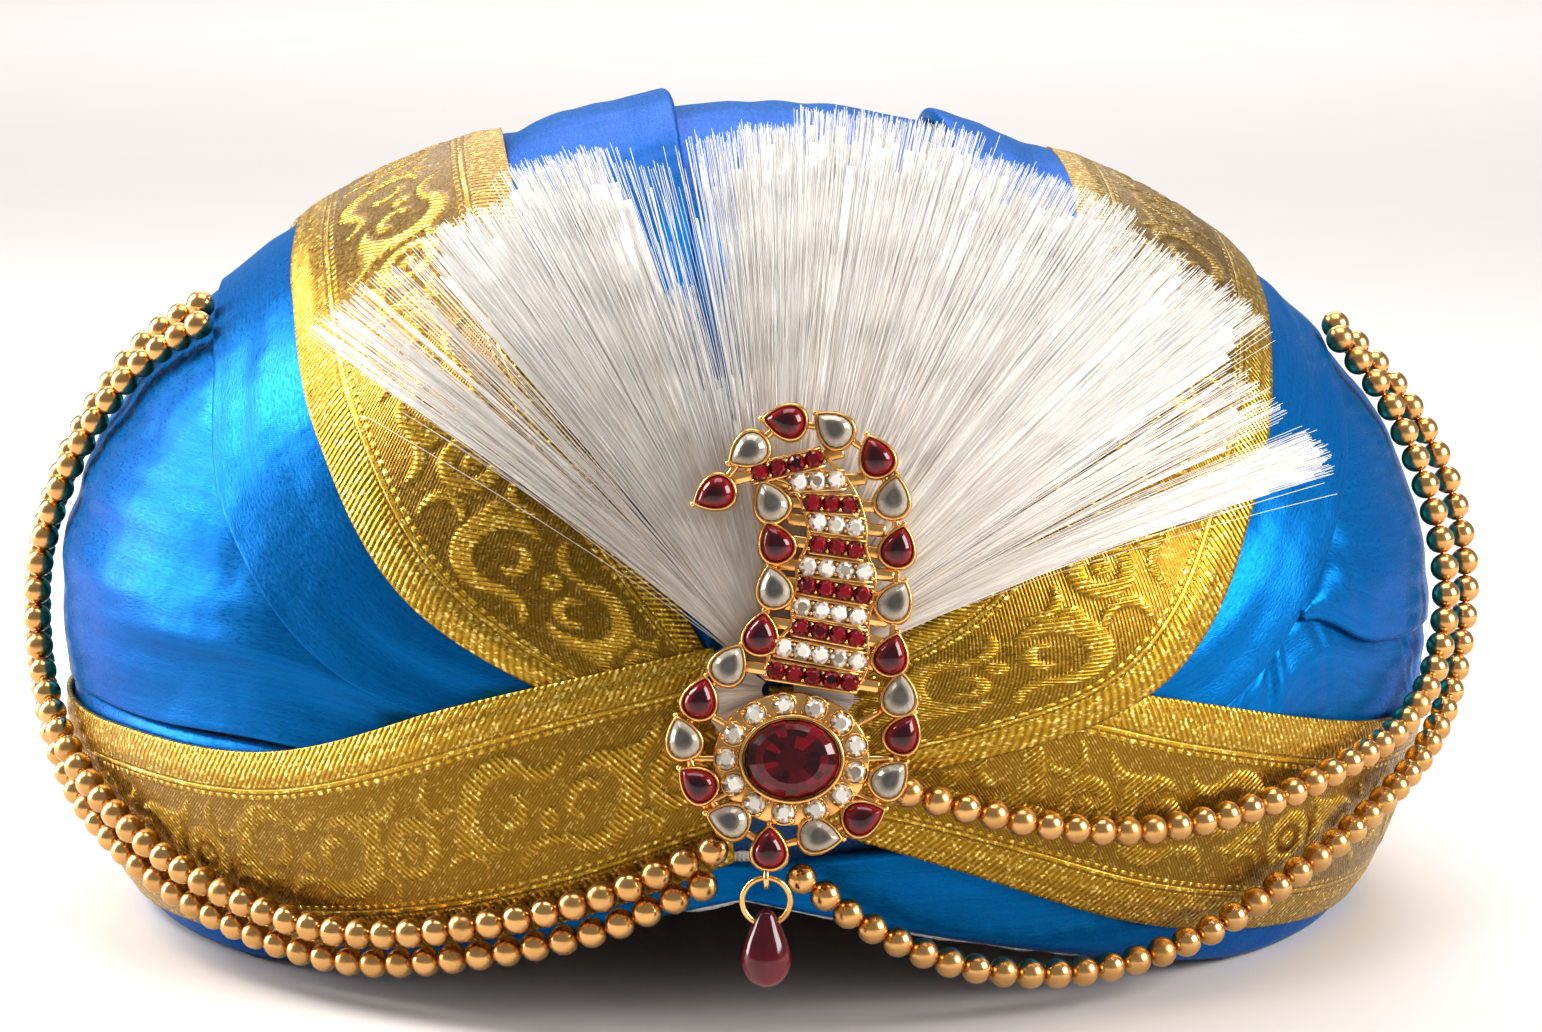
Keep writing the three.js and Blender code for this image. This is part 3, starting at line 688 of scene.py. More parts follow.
@dataclass(frozen=True)
class StoneFinish:
    """Foil-backed glass: one colour in the depth of the stone and a lighter one at its rim, the rim colour
    being painted light that the glass and its foil throw back.
    """

    name: str
    depth: Colour
    rim: Colour
    metallic: float
    roughness: float
    transmission: float
    clouds: float = 420.0
    clouding: float = 0.06

    def make(self) -> bpy.types.Material:
        """Makes the stone's material.

        Returns:
            The material.
        """
        constants = {
            "Metallic": self.metallic, "Transmission Weight": self.transmission, "IOR": 1.5,
            "Specular IOR Level": 0.4,
        }
        material, bench, shader = new_material(self.name, constants)
        outward, _, _ = bench.detail()
        cloud = bench.noise(bench.place(), self.clouds, 2.0)
        # Painted light: the colour goes from the depth colour to the lighter rim colour as the first detail
        # value grows, towards a stone's rim or on its brighter facets; the clouds are the glass's own.
        share = bench.maths("MULTIPLY_ADD", cloud, 0.3, bench.span(outward, 0.4, 1.0, -0.12, 0.9))
        bench.feed(shader.inputs["Base Color"], bench.blend(share, self.depth, self.rim))
        dullest = self.roughness + self.clouding
        bench.feed(shader.inputs["Roughness"], bench.span(cloud, 0.3, 0.7, self.roughness, dullest))
        return material


class Finishes:
    """Every finish of the turban, made once."""

    def __init__(self) -> None:
        """Makes the shader groups and the materials."""
        groups = Groups(thread_weave(), worn_metal())
        satin = SatinFinish()
        padding = CottonFinish("padding_cotton", (0.8, 0.76, 0.66, 1), (0.6, 0.55, 0.45, 1), satin.deep)
        lining = CottonFinish("lining_cotton", (0.92, 0.91, 0.88, 1), (0.75, 0.73, 0.69, 1), satin.deep)
        bead = MetalFinish("bead_gold", (0.66, 0.37, 0.13, 1), (0.5, 0.26, 0.08, 1), 0.2, 0.34)
        setting = MetalFinish("setting_gold", (0.88, 0.5, 0.17, 1), (0.5, 0.25, 0.06, 1), 0.16, 0.36)
        # Each stone's rim colour is lighter than its depth colour: painted light from the glass and its
        # foil.
        ruby = StoneFinish("ruby_glass", (0.014, 0.0, 0.001, 1), (0.2, 0.001, 0.006, 1), 0.0, 0.05, 0.0)
        clear = StoneFinish("clear_glass", (0.07, 0.063, 0.055, 1), (0.47, 0.41, 0.32, 1), 0.22, 0.08, 0.0)
        cut = StoneFinish("brilliant_glass", (0.25, 0.2, 0.14, 1), (0.95, 0.91, 0.82, 1), 0.3, 0.06, 0.0)
        drop = StoneFinish("drop_glass", (0.045, 0.0, 0.003, 1), (0.15, 0.0, 0.006, 1), 0.0, 0.08, 0.12)
        self.satin = satin.make(groups)
        self.lace = LaceFinish().make(groups)
        self.padding = padding.make(groups)
        self.lining = lining.make(groups)
        self.bead = bead.make(groups)
        self.setting = setting.make(groups)
        self.fibre = FibreFinish().make()
        self.ruby = ruby.make()
        self.clear = clear.make()
        self.brilliant = cut.make()
        self.drop = drop.make()


# Crown and cloth


@dataclass(frozen=True)
class Dome:
    """Outside form of the crown: a ball with its own half size in each direction."""

    half_width: float = 144.5
    front_depth: float = 121.5
    back_depth: float = 136.5
    top_height: float = 105.5
    low_height: float = 132.0
    centre: tuple[float, float, float] = (-1.3, 3.0, 62.0)

    def direction(self, bearing: Array | float, rise: Array | float) -> Array:
        """Unit direction for a bearing, 0 at the front and growing to the right, and a rise."""
        turn, tilt = np.broadcast_arrays(np.radians(bearing), np.radians(rise))
        return np.stack([np.sin(turn) * np.cos(tilt), -np.cos(turn) * np.cos(tilt), np.sin(tilt)], axis=-1)

    def point(self, toward: Array, lift: Array | float) -> Array:
        """Point above the dome.

        Args:
            toward: unit directions from its centre.
            lift: distance from its surface.

        Returns:
            One point for each direction.
        """
        depth = np.where(toward[..., 1] < 0, self.front_depth, self.back_depth)
        height = np.where(toward[..., 2] > 0, self.top_height, self.low_height)
        half = np.stack([np.full_like(depth, self.half_width), depth, height], axis=-1)
        raised = np.asarray(lift, float)[..., None] * unit(toward / half)
        return toward * half + raised + np.array(self.centre)

    def edge(self, stations: Table, shares: Array) -> Array:
        """Directions along a smooth edge through stations of bearing and rise."""
        return unit(smooth_line(self.direction(*np.array(stations).T), shares))


DOME = Dome()


@dataclass(frozen=True)
class Rim:
    """Lower edge of the turban, arched over the brow."""

    arch_height: float = 27.0
    half_bearing: float = 55.0
    sharpness: float = 1.3
    core_rise: float = 1.06
    wrap_rise: float = 0.98
    floor_clearance: float = 0.6

    def arch(self, bearing: Array) -> Array:
        """Height of the arch at a bearing."""
        return self.arch_height * np.maximum(0, 1 - np.abs(bearing) / self.half_bearing) ** self.sharpness

    def wrap_edge(self, bearing: Array) -> Array:
        """Height of the lower edge of the satin at a bearing."""
        return self.floor_clearance + self.wrap_rise * self.arch(bearing)

    def rise_at(self, height: Array) -> Array:
        """Rise on the dome of a height above the floor."""
        return -np.degrees(np.arcsin((DOME.centre[2] - height) / DOME.low_height))

    def over_floor(self, points: Array) -> Array:
        """Points kept clear of the floor."""
        points[..., 2] = np.maximum(points[..., 2], self.floor_clearance)
        return points


RIM = Rim()


@dataclass(frozen=True)
class CrownCore:
    """The padded crown with the hollow for the head, its lining edge and the satin round its rim."""

    lift: float = -0.7
    head_half_width: float = 82.5
    head_half_depth: float = 98.0
    head_centre_depth: float = 9.5
    wall_height: float = 40.0
    head_top: float = 128.0
    lining_lift: float = -0.3
    lining_thickness: float = 0.8
    lining_shown: float = 1.6
    lining_hidden: float = 9.0
    lining_waver: float = 0.35
    lining_bearings: tuple[float, float] = (-28.0, 44.0)
    lining_flat: tuple[float, float] = (0.0111, 0.162)
    wrap_lift: float = 1.6
    wrap_thickness: float = 1.8
    wrap_slack: float = 0.81
    wrap_flat: tuple[float, float] = (0.047, 0.86)
    # Millimetres for each degree, inside the hollow and on the dome.
    inner_degree: float = 2.2
    outer_degree: float = 2.3
    # Upper edge of the base wrap: bearing and rise.
    wrap_top: Table = (
        (-180, -13.5), (-118, -13.5), (-106, -10.2), (-92, -6), (-75, -5), (-55, -4.8), (-36.6, -4.6),
        (-14, -9.3), (0, -12), (14, -11), (38, -11), (55, -12), (72, -13), (180, -13.5),
    )

    def padding(self) -> Shell:
        """The crown: dome outside, rim, and the hollow up to its top.

        Returns:
            The shell, dyed outside, with the place round and along it as its other detail values.
        """
        bearings = np.linspace(-180, 180, 128, endpoint=False)
        height = RIM.core_rise * RIM.arch(bearings)
        low = RIM.rise_at(height)
        rings = [
            DOME.point(DOME.direction(bearings, low + (90 - low) * share), self.lift)
            for share in np.linspace(0.99, 0, 36)
        ]
        rings[-1][:, 2] = height
        dyed = [1.0] * len(rings)
        toward = DOME.direction(bearings, 0)
        shape = toward * (self.head_half_width, self.head_half_depth, 0)
        centre = np.array([DOME.centre[0], self.head_centre_depth, 0])
        for angle in np.radians(np.linspace(0, 88, 20)):
            level = self.wall_height + (self.head_top - self.wall_height) * math.sin(angle)
            rings.append(shape * math.cos(angle) + centre + (0, 0, level))
        floor_ring = shape + centre
        floor_ring[:, 2] = height
        rings.insert(len(dyed), floor_ring)
        dyed += [0.0] * (len(rings) - len(dyed))
        points = np.stack(rings)
        detail = np.empty_like(points)
        detail[..., 0] = self.inner_degree * bearings
        detail[..., 1] = running_length(points[:, len(bearings) // 2])[:, None]
        detail[..., 2] = np.array(dyed)[:, None]
        return loft(points, detail=detail)

    def lining(self) -> Shell:
        """The white lining whose edge shows under the satin along the front arch.

        Returns:
            The shell.
        """
        bearings = np.linspace(*self.lining_bearings, 145)
        edge = RIM.wrap_edge(bearings)
        shown = self.lining_shown * np.minimum(1, RIM.arch(bearings) / 8)
        waver = Ripple(3, 30, 6, 0.2).at(np.zeros_like(bearings), 2.1 * bearings)
        low = RIM.rise_at(edge - shown - self.lining_waver * waver)
        high = RIM.rise_at(edge + self.lining_hidden)
        return self._strip(bearings, low, high, self.lining_lift, self.lining_thickness, 0.0, 6, False)

    def base_wrap(self) -> Shell:
        """The satin wrap right round the rim.

        Returns:
            The shell.
        """
        bearings = np.linspace(-180, 180, 300, endpoint=False)
        stations = np.array(self.wrap_top)
        ends = np.clip(np.searchsorted(stations[:, 0], bearings, side="right"), 1, len(stations) - 1)
        (x0, y0), (x1, y1) = stations[ends - 1].T, stations[ends].T
        share = np.clip((bearings - x0) / (x1 - x0), 0, 1)
        high = y0 + (y1 - y0) * share**2 * (3 - 2 * share)
        low = RIM.rise_at(RIM.wrap_edge(bearings))
        lift, thickness = self.wrap_lift, self.wrap_thickness
        return self._strip(bearings, low, high, lift, thickness, self.wrap_slack, 22, True)

    def _strip(
        self, bearings: Array, low: Array, high: Array, lift: float, thickness: float, slack: float,
        strips: int, closed: bool,
    ) -> Shell:
        """Strip of cloth on the dome between two rises.

        Args:
            bearings: where its cross sections stand.
            low: rise of its lower edge at each bearing.
            high: rise of its upper edge at each bearing.
            lift: its underside over the dome.
            thickness: its thickness.
            slack: how far it wavers between its edges.
            strips: number of strips across it.
            closed: True where it runs right round.

        Returns:
            The shell, with the place along and across it as its detail values.
        """
        share = np.linspace(0, 1, strips + 1)
        edge = np.minimum(1, 8 * np.minimum(share, 1 - share))
        turn = bearings[:, None]
        rise = low[:, None] + (high - low)[:, None] * share
        across = self.outer_degree * rise
        waver = slack * Ripple(5, 70, 14, 0.25).at(np.zeros_like(across), across)
        rounded = thickness * np.sqrt(1 - (1 - edge) ** 2 * 0.9)
        top = lift + rounded + edge * np.maximum(waver, -0.3)
        outside = DOME.point(DOME.direction(turn, rise), top)
        inside = DOME.point(DOME.direction(turn, rise[:, ::-4]), lift)
        rings = RIM.over_floor(np.concatenate([outside, inside], axis=1))
        detail = np.zeros_like(rings)
        detail[..., 0] = self.outer_degree * turn
        detail[:, : strips + 1, 1] = across
        return loft(rings, closed, detail)

    def dress(self, finishes: Finishes) -> None:
        """Builds the three pieces.

        Args:
            finishes: every finish of the turban.
        """
        crown = make_piece("crown_padding", self.padding(), finishes.padding, ["crown"])
        edge = make_piece("rim_lining_cloth", self.lining(), finishes.lining, ["rim_lining"])
        wrap = make_piece("base_wrap_cloth", self.base_wrap(), finishes.satin, ["base_wrap"])


# Fold edges from the front to the back of the crown: bearing and rise.
FOLDS: dict[str, Table] = {
    "left_low": ((-14, -8.5), (-36.6, -3.8), (-55, -4), (-75, -4.2), (-92, -5), (-106, -8.5), (-116, -12)),
    "left_pleat": ((-9, -4), (-31.6, 3.1), (-46, 17), (-62, 34), (-92, 40), (-120, 20), (-134, -12)),
    "left_hidden": ((-6, -1), (-16, 17), (-31, 38), (-58, 57), (-105, 60), (-140, 28), (-148, -12)),
    "left_roll": ((-2.5, 6), (-4, 37), (-16, 70), (-130, 81), (-166, 50), (-168, 19), (-169, -12)),
    "right_roll": ((2.5, 6), (14, 37), (45, 65), (107, 73.5), (156, 50), (163, 19), (166, -12)),
    "right_hidden": ((6, -1), (24, 14), (40, 33), (66, 50), (105, 52), (136, 25), (148, -12)),
    "right_pleat": ((9, -4), (39.7, -0.8), (49.1, 7.2), (62, 20), (84, 33), (115, 25), (132, -12)),
    "right_tuck": ((9.5, -4.6), (40, -1.4), (49.4, 6.6), (60, 2.5), (78, 0.7), (98, -2), (114, -11)),
    "right_low": ((14, -10), (38, -10), (55, -11), (72, -12), (90, -12), (104, -12), (115, -12.5)),
}


@dataclass(frozen=True)
class SatinWrap:
    """One satin wrap between two fold edges, its folded edge lying over its neighbour."""

    node: str
    folded: str
    tucked: str
    fold: float
    puff: float
    start: int
    wobble: float
    gathers: float
    seed: int
    rest: float = 1.0
    thickness: float = 1.8
    clear: float = 0.15
    overhang: float = 1.3
    gather_depth: float = 9.0
    wall: float = 0.4
    steps: int = 170
    strips: int = 40

    def shell(self) -> tuple[Shell, tuple[float, float]]:
        """The wrap's shape and the size of its cut, in metres.

        Returns:
            The shell, and the width and length of the cut.
        """
        shares = np.linspace(self.start / 6, 1, self.steps)
        first = DOME.edge(FOLDS[self.folded], shares)
        second = DOME.edge(FOLDS[self.tucked], shares)
        width = np.linalg.norm(DOME.point(first, 0) - DOME.point(second, 0), axis=1)
        along = running_length(DOME.point(unit(first + second), 0))[:, None]
        lipped = self.fold > self.thickness
        low = self.rest + (self.thickness + self.clear if lipped else 0.0)
        fullness = np.sin(np.pi * shares)[:, None] ** 2
        edge_top = self.rest + self.thickness + fullness[:, 0] * (self.fold - self.thickness)
        radius = np.maximum(0.35, (edge_top - low) / 2)
        centre = radius - (self.overhang if lipped else 0.0)
        run = centre[:, None] + (width - 0.15 - centre)[:, None] * np.linspace(0, 1, self.strips) ** 1.25
        share = np.clip(run / width[:, None], 0, 1)
        top = self.rest + self.thickness + self._swell(share, fullness, along, run)
        short = np.maximum(0, low + 2 * radius - top[:, 0])[:, None]
        top = top + short * (1 - share) ** 6
        radius = (top[:, 0] - low) / 2
        angles = np.radians(np.linspace(270, 90, 8)[:-1])
        lip_run = centre[:, None] + radius[:, None] * np.cos(angles)
        lip_top = (low + radius)[:, None] + radius[:, None] * np.sin(angles)
        back = np.linspace(0.98, 0.02, 5) * width[:, None]
        columns = [lip_run, run, back]
        levels = [lip_top, top, np.full_like(back, self.rest)]
        if lipped:
            wall = np.full((self.steps, 2), self.wall)
            columns.append(wall)
            levels.append(np.broadcast_to([self.rest, low], wall.shape))
        place = np.concatenate(columns, axis=1)
        level = np.concatenate(levels, axis=1)
        toward = unit(first[:, None] + (second - first)[:, None] * (place / width[:, None])[..., None])
        detail = np.stack([np.broadcast_to(along, place.shape), place, np.zeros_like(place)], axis=-1)
        cut = (float(width.max() + 2) * MM, float(along[-1, 0]) * MM)
        return loft(DOME.point(toward, level), detail=detail), cut

    def _swell(self, share: Array, fullness: Array, along: Array, run: Array) -> Array:
        """Height of the cloth over its thickness: the roll at its fold, its swell, wobble and gathers.

        Args:
            share: place across it, 0 at the folded edge.
            fullness: share of the roll and the swell at each cross section.
            along: place along it.
            run: distance from the folded edge.

        Returns:
            The height at each place.
        """
        roll = (self.fold - self.thickness) * (1 - share) ** 2
        swell = fullness * (roll + self.puff * np.sin(np.pi * share))
        inside = np.sin(np.pi * np.clip(share, 0.0, 1.0)) ** 0.6
        wobble = self.wobble * inside * Ripple(self.seed, 46, 9, 0.22).at(along * 0.45, run)
        sway = along * 0.47 + 2.4 * np.sin(along * 0.13) + 1.6 * np.sin(along * 0.29 + run * 0.12)
        strength = (0.55 + 0.45 * np.sin(along * 0.083 + 1)) * np.exp(-run / self.gather_depth)
        pucker = strength * (0.5 + 0.5 * np.sin(sway))
        return swell + wobble + self.gathers * pucker * eased(0.0, 3.0, run) * inside


WRAPS = (
    SatinWrap("left_wrap_wide", "left_low", "left_pleat", 2.6, 2.0, 0, 0.75, 0.0, 11),
    SatinWrap("left_wrap_inner", "left_pleat", "left_hidden", 3.4, 0.4, 0, 0.45, 0.0, 12),
    SatinWrap("left_wrap_top", "left_roll", "left_hidden", 6.0, 0.4, 0, 0.4, 0.0, 13),
    SatinWrap("centre_wrap", "left_roll", "right_roll", 1.8, 0.6, 0, 0.5, 0.0, 14),
    SatinWrap("right_wrap_top", "right_roll", "right_hidden", 5.0, 0.6, 0, 0.4, 0.0, 15),
    SatinWrap("right_wrap_inner", "right_pleat", "right_hidden", 3.6, 0.4, 0, 0.45, 0.0, 16),
    SatinWrap("right_wrap_wide", "right_tuck", "right_pleat", 4.2, 1.6, 2, 0.6, 0.9, 17),
    SatinWrap("right_wrap_low", "right_tuck", "right_low", 1.8, 0.5, 0, 0.45, 2.2, 18),
)


class SatinWraps:
    """All the satin wraps over the crown."""

    def dress(self, finishes: Finishes) -> None:
        """Args:
            finishes: every finish of the turban.
        """
        for wrap in WRAPS:
            shell, cut = wrap.shell()
            piece = make_piece(f"{wrap.node}_cloth", shell, finishes.satin, [wrap.node])


@dataclass(frozen=True)
class LacePattern:
    """Traditional scrolls and rosettes that repeat along the middle of a lace band."""

    repeat: float = 56.0
    field_width: float = 46.0
    half_field: float = 12.2
    # Strokes of one repeat: along, across from the middle, radius, start, sweep, stroke width.
    strokes: Table = (
        (9.0, 2.0, 4.8, 0, 360, 3.0), (9.0, 2.0, 0.9, 0, 360, 1.8), (26.0, 1.5, 7.6, 30, 265, 4.6),
        (28.0, 0.5, 2.9, 190, 250, 2.4), (45.0, -2.0, 7.4, 205, 255, 4.4), (43.5, -1.0, 2.8, 20, 250, 2.3),
        (17.5, -11.5, 6.0, 50, 120, 2.2), (36.0, 12.0, 6.0, 225, 120, 2.2), (36.0, -10.5, 4.4, 20, 150, 2.0),
        (53.5, 9.5, 4.4, 190, 150, 2.0), (2.0, -7.5, 4.0, 300, 210, 2.0), (17.0, 10.0, 3.4, 120, 210, 1.8),
        (53.5, 1.5, 1.3, 0, 360, 1.8), (18.0, -3.0, 1.2, 0, 360, 1.7), (35.5, 2.0, 1.2, 0, 360, 1.7),
    )

    def relief(self, along: Array, side: Array) -> Array:
        """How far the motif thread stands up.

        Args:
            along: places along the band.
            side: distances from its middle.

        Returns:
            The height at each place, from 0 to 1.
        """
        most = np.zeros(np.broadcast(along, side).shape)
        for at, off, radius, start, sweep, stroke in self.strokes:
            x = (along - at + self.repeat / 2) % self.repeat - self.repeat / 2
            y = side - off
            turn = (np.degrees(np.arctan2(y, x)) - start) % 360
            swing = np.where(turn <= sweep, turn / sweep, 1.0)
            taper = 1.0 if sweep == 360 else np.sin(np.pi * swing) ** 0.55
            gap = np.abs(np.hypot(x, y) - radius)
            most = np.maximum(most, eased(-0.3, 0.5, stroke * taper / 2 - gap) * (turn <= sweep))
        return most * (1 - eased(self.half_field - 0.6, self.half_field, np.abs(side)))


@dataclass(frozen=True)
class LaceBand:
    """One gold lace band between two edges, raised where it lies over another band."""

    node: str
    outer: Table
    inner: Table
    raised_from: float
    raised_to: float
    under: tuple[str, ...]
    lift: float = 4.6
    lift_over: float = 6.6
    thickness: float = 1.0
    edge_drop: float = 0.7
    relief_height: float = 0.24
    pitch: float = 0.72
    strips: int = 66

    def shell(self, pattern: LacePattern) -> tuple[Shell, tuple[float, float]]:
        """The band's shape and the size of its cut, in metres.

        Args:
            pattern: the motif woven into it.

        Returns:
            The shell, and the width and length of the cut.
        """
        rough = np.linspace(0, 1, 200)
        middle = DOME.point(unit(DOME.edge(self.outer, rough) + DOME.edge(self.inner, rough)), self.lift)
        reach = running_length(middle)
        along = np.linspace(0, reach[-1], int(reach[-1] / self.pitch))
        shares = np.interp(along, reach, rough)
        first = DOME.edge(self.outer, shares)
        second = DOME.edge(self.inner, shares)
        width = np.linalg.norm(DOME.point(first, 0) - DOME.point(second, 0), axis=1)
        lowered = np.ones_like(shares)
        if self.raised_to:
            lowered = eased(self.raised_from, self.raised_to, shares * (len(self.outer) - 1))
        rest = (self.lift_over + (self.lift - self.lift_over) * lowered)[:, None]
        across = np.linspace(0, 1, self.strips + 1)
        under = np.linspace(1, 0, 6)
        share = np.concatenate([across, under])
        place = np.broadcast_to(share, (len(along), len(share)))
        side = (place - 0.5) * pattern.field_width
        relief = pattern.relief(along[:, None], side)
        on_top = np.arange(len(share)) <= self.strips
        drop = self.edge_drop * (1 - eased(0.0, 0.12, np.minimum(share, 1 - share)))
        level = rest - drop + on_top * (self.thickness + self.relief_height * relief)
        toward = unit(first[:, None] + (second - first)[:, None] * place[..., None])
        detail = np.stack([np.broadcast_to(along[:, None], place.shape), side, relief], axis=-1)
        cut = (float(width.max()) * MM, float(reach[-1]) * MM)
        return loft(DOME.point(toward, level), detail=detail), cut


LEFT_WRAPS = ("left_wrap_wide_cloth", "left_wrap_inner_cloth", "left_wrap_top_cloth")
RIGHT_WRAPS = ("right_wrap_wide_cloth", "right_wrap_inner_cloth", "right_wrap_top_cloth")
BANDS = (
    LaceBand(
        "left_loop_band",
        ((-6, -2), (-25.6, 10.4), (-39.2, 26.7), (-57, 42), (-92, 49), (-125, 25), (-138, -9)),
        ((-2, 6), (-9, 22), (-20, 41), (-46, 63), (-115, 66), (-150, 34), (-158, -9)),
        0.0, 0.0, LEFT_WRAPS,
    ),
    LaceBand(
        "right_loop_band",
        ((7, -5), (32, 1.5), (46.5, 19.3), (65, 36), (97, 43), (125, 22), (138, -9)),
        ((5, 5), (15, 13), (27, 32), (48, 52), (100, 63), (147, 36), (158, -9)),
        1.3, 2.2, (*RIGHT_WRAPS, "right_brow_band_lace"),
    ),
    LaceBand(
        "left_brow_band",
        ((-2, 8), (-16.9, 3), (-38, -4.6), (-62, -6), (-92, -7), (-132, -10.5), (-176, -10.5)),
        ((-0.5, -11), (-17, -18), (-38, -22.5), (-62, -24.2), (-92, -24.8), (-132, -25), (-176, -25)),
        1.2, 2.2, ("base_wrap_cloth", "left_wrap_wide_cloth", "left_loop_band_lace"),
    ),
    LaceBand(
        "right_brow_band",
        ((2, 4), (20, 4), (38, -0.6), (60, -5.5), (90, -8), (132, -10.5), (176, -10.5)),
        ((2, -7), (17.2, -13), (34, -19.7), (57, -24), (90, -24.8), (132, -25), (176, -25)),
        0.0, 0.0, ("base_wrap_cloth", "right_wrap_low_cloth"),
    ),
)


class LaceBands:
    """The four gold lace bands."""

    def dress(self, finishes: Finishes) -> None:
        """Args:
            finishes: every finish of the turban.
        """
        pattern = LacePattern()
        for band in BANDS:
            shell, cut = band.shell(pattern)
            piece = make_piece(f"{band.node}_lace", shell, finishes.lace, [band.node])


# Bead strings and plume


@dataclass(frozen=True)
class BeadStrand:
    """One string of round beads: stations of bearing, rise and lift of the bead's centre."""

    node: str
    stations: Table
    radius: float = 3.0
    pitch: float = 6.06
    thread_radius: float = 0.5
    sides: int = 20
    levels: int = 13

    def shell(self) -> Shell:
        """Every bead of the string, on its thread.

        Returns:
            The shell.
        """
        bearing, rise, lift = np.array(self.stations).T
        line = smooth_line(DOME.point(DOME.direction(bearing, rise), lift), np.linspace(0, 1, 900))
        reach = running_length(line)
        count = int(round(reach[-1] / self.pitch))
        at = (np.arange(count) + 0.5) * reach[-1] / count
        centres = np.stack([np.interp(at, reach, line[:, k]) for k in range(3)], axis=-1)
        along = unit(np.stack([np.interp(at, reach, g) for g in np.gradient(line, axis=0).T], axis=-1))
        aside = unit(np.cross(along, [0.2, 0.1, 0.97]))
        axes = np.stack([aside, np.cross(along, aside), along], axis=1)
        rise = np.radians(np.linspace(-80, 80, self.levels))[:, None]
        angle = np.linspace(0, 2 * np.pi, self.sides, endpoint=False)
        level = np.sin(rise) + 0 * angle
        rings = np.stack([np.cos(rise) * np.cos(angle), np.cos(rise) * np.sin(angle), level], axis=-1)
        bead = loft(rings * self.radius)
        beads = [bead.moved(axes[i], centres[i]) for i in range(count)]
        return joined([*beads, tube(line[::6], self.thread_radius, 6)])


STRANDS = (
    BeadStrand("left_upper_strand", (
        (-65.5, 36.2, 7.6), (-73, 29, 8.4), (-78, 18, 8.8), (-81, 6, 9.6), (-79, -3, 9.6), (-70, -9, 9.5),
        (-58, -14, 9.5), (-46, -17.5, 9.6), (-33, -18.8, 11), (-20, -16.5, 11.4), (-10, -13.2, 11.6),
        (-5, -10.6, 11.8), (-1, -8.6, 12),
    )),
    BeadStrand("left_lower_strand", (
        (-70, 38.2, 7.6), (-77, 31, 8.4), (-81.5, 19, 8.8), (-84.5, 6, 9.6), (-82, -4.5, 9.6),
        (-73, -12, 9.5), (-60, -17, 9.5), (-47, -20.4, 9.6), (-33, -21.6, 10.8), (-20, -19.3, 11),
        (-10, -16.1, 11.2), (-5.4, -13.6, 11.4), (-1.8, -11.6, 11.6),
    )),
    BeadStrand("right_upper_strand", (
        (80, 33, 7.6), (79, 24, 8.6), (78, 14, 8.8), (76, 5, 9.4), (71, -2, 9.5), (63, -5.8, 9.5),
        (53, -7.6, 9.5), (42, -9.4, 9.5), (31, -9.8, 9.6), (22, -8.1, 11), (14.2, -5.6, 11.6),
        (10.8, -4.3, 11.8),
    )),
    BeadStrand("right_lower_strand", (
        (84.5, 34, 7.6), (84.5, 24, 10.5), (85, 14, 12.4), (84, 4, 12.6), (79, -5, 11), (70, -9.6, 10),
        (60, -12.8, 9.6), (50, -16.3, 9.6), (39, -20.6, 9.8), (28, -22, 10.4), (17, -20, 11.2),
        (9, -15.6, 11.4), (5.6, -12.6, 11.6), (3.4, -10.8, 11.8),
    )),
)


class BeadStrands:
    """The four bead strings."""

    def dress(self, finishes: Finishes) -> None:
        """Builds each string."""
        for strand in STRANDS:
            make_piece(f"{strand.node}_beads", strand.shell(), finishes.bead, [strand.node])


@dataclass(frozen=True)
class Tuft:
    """Part of the plume between two angles of the fan, counted from the right."""

    start: float
    end: float
    reach: float
    fibres: int
    locks: int
    lock_half: float
    spread: float = 0.75


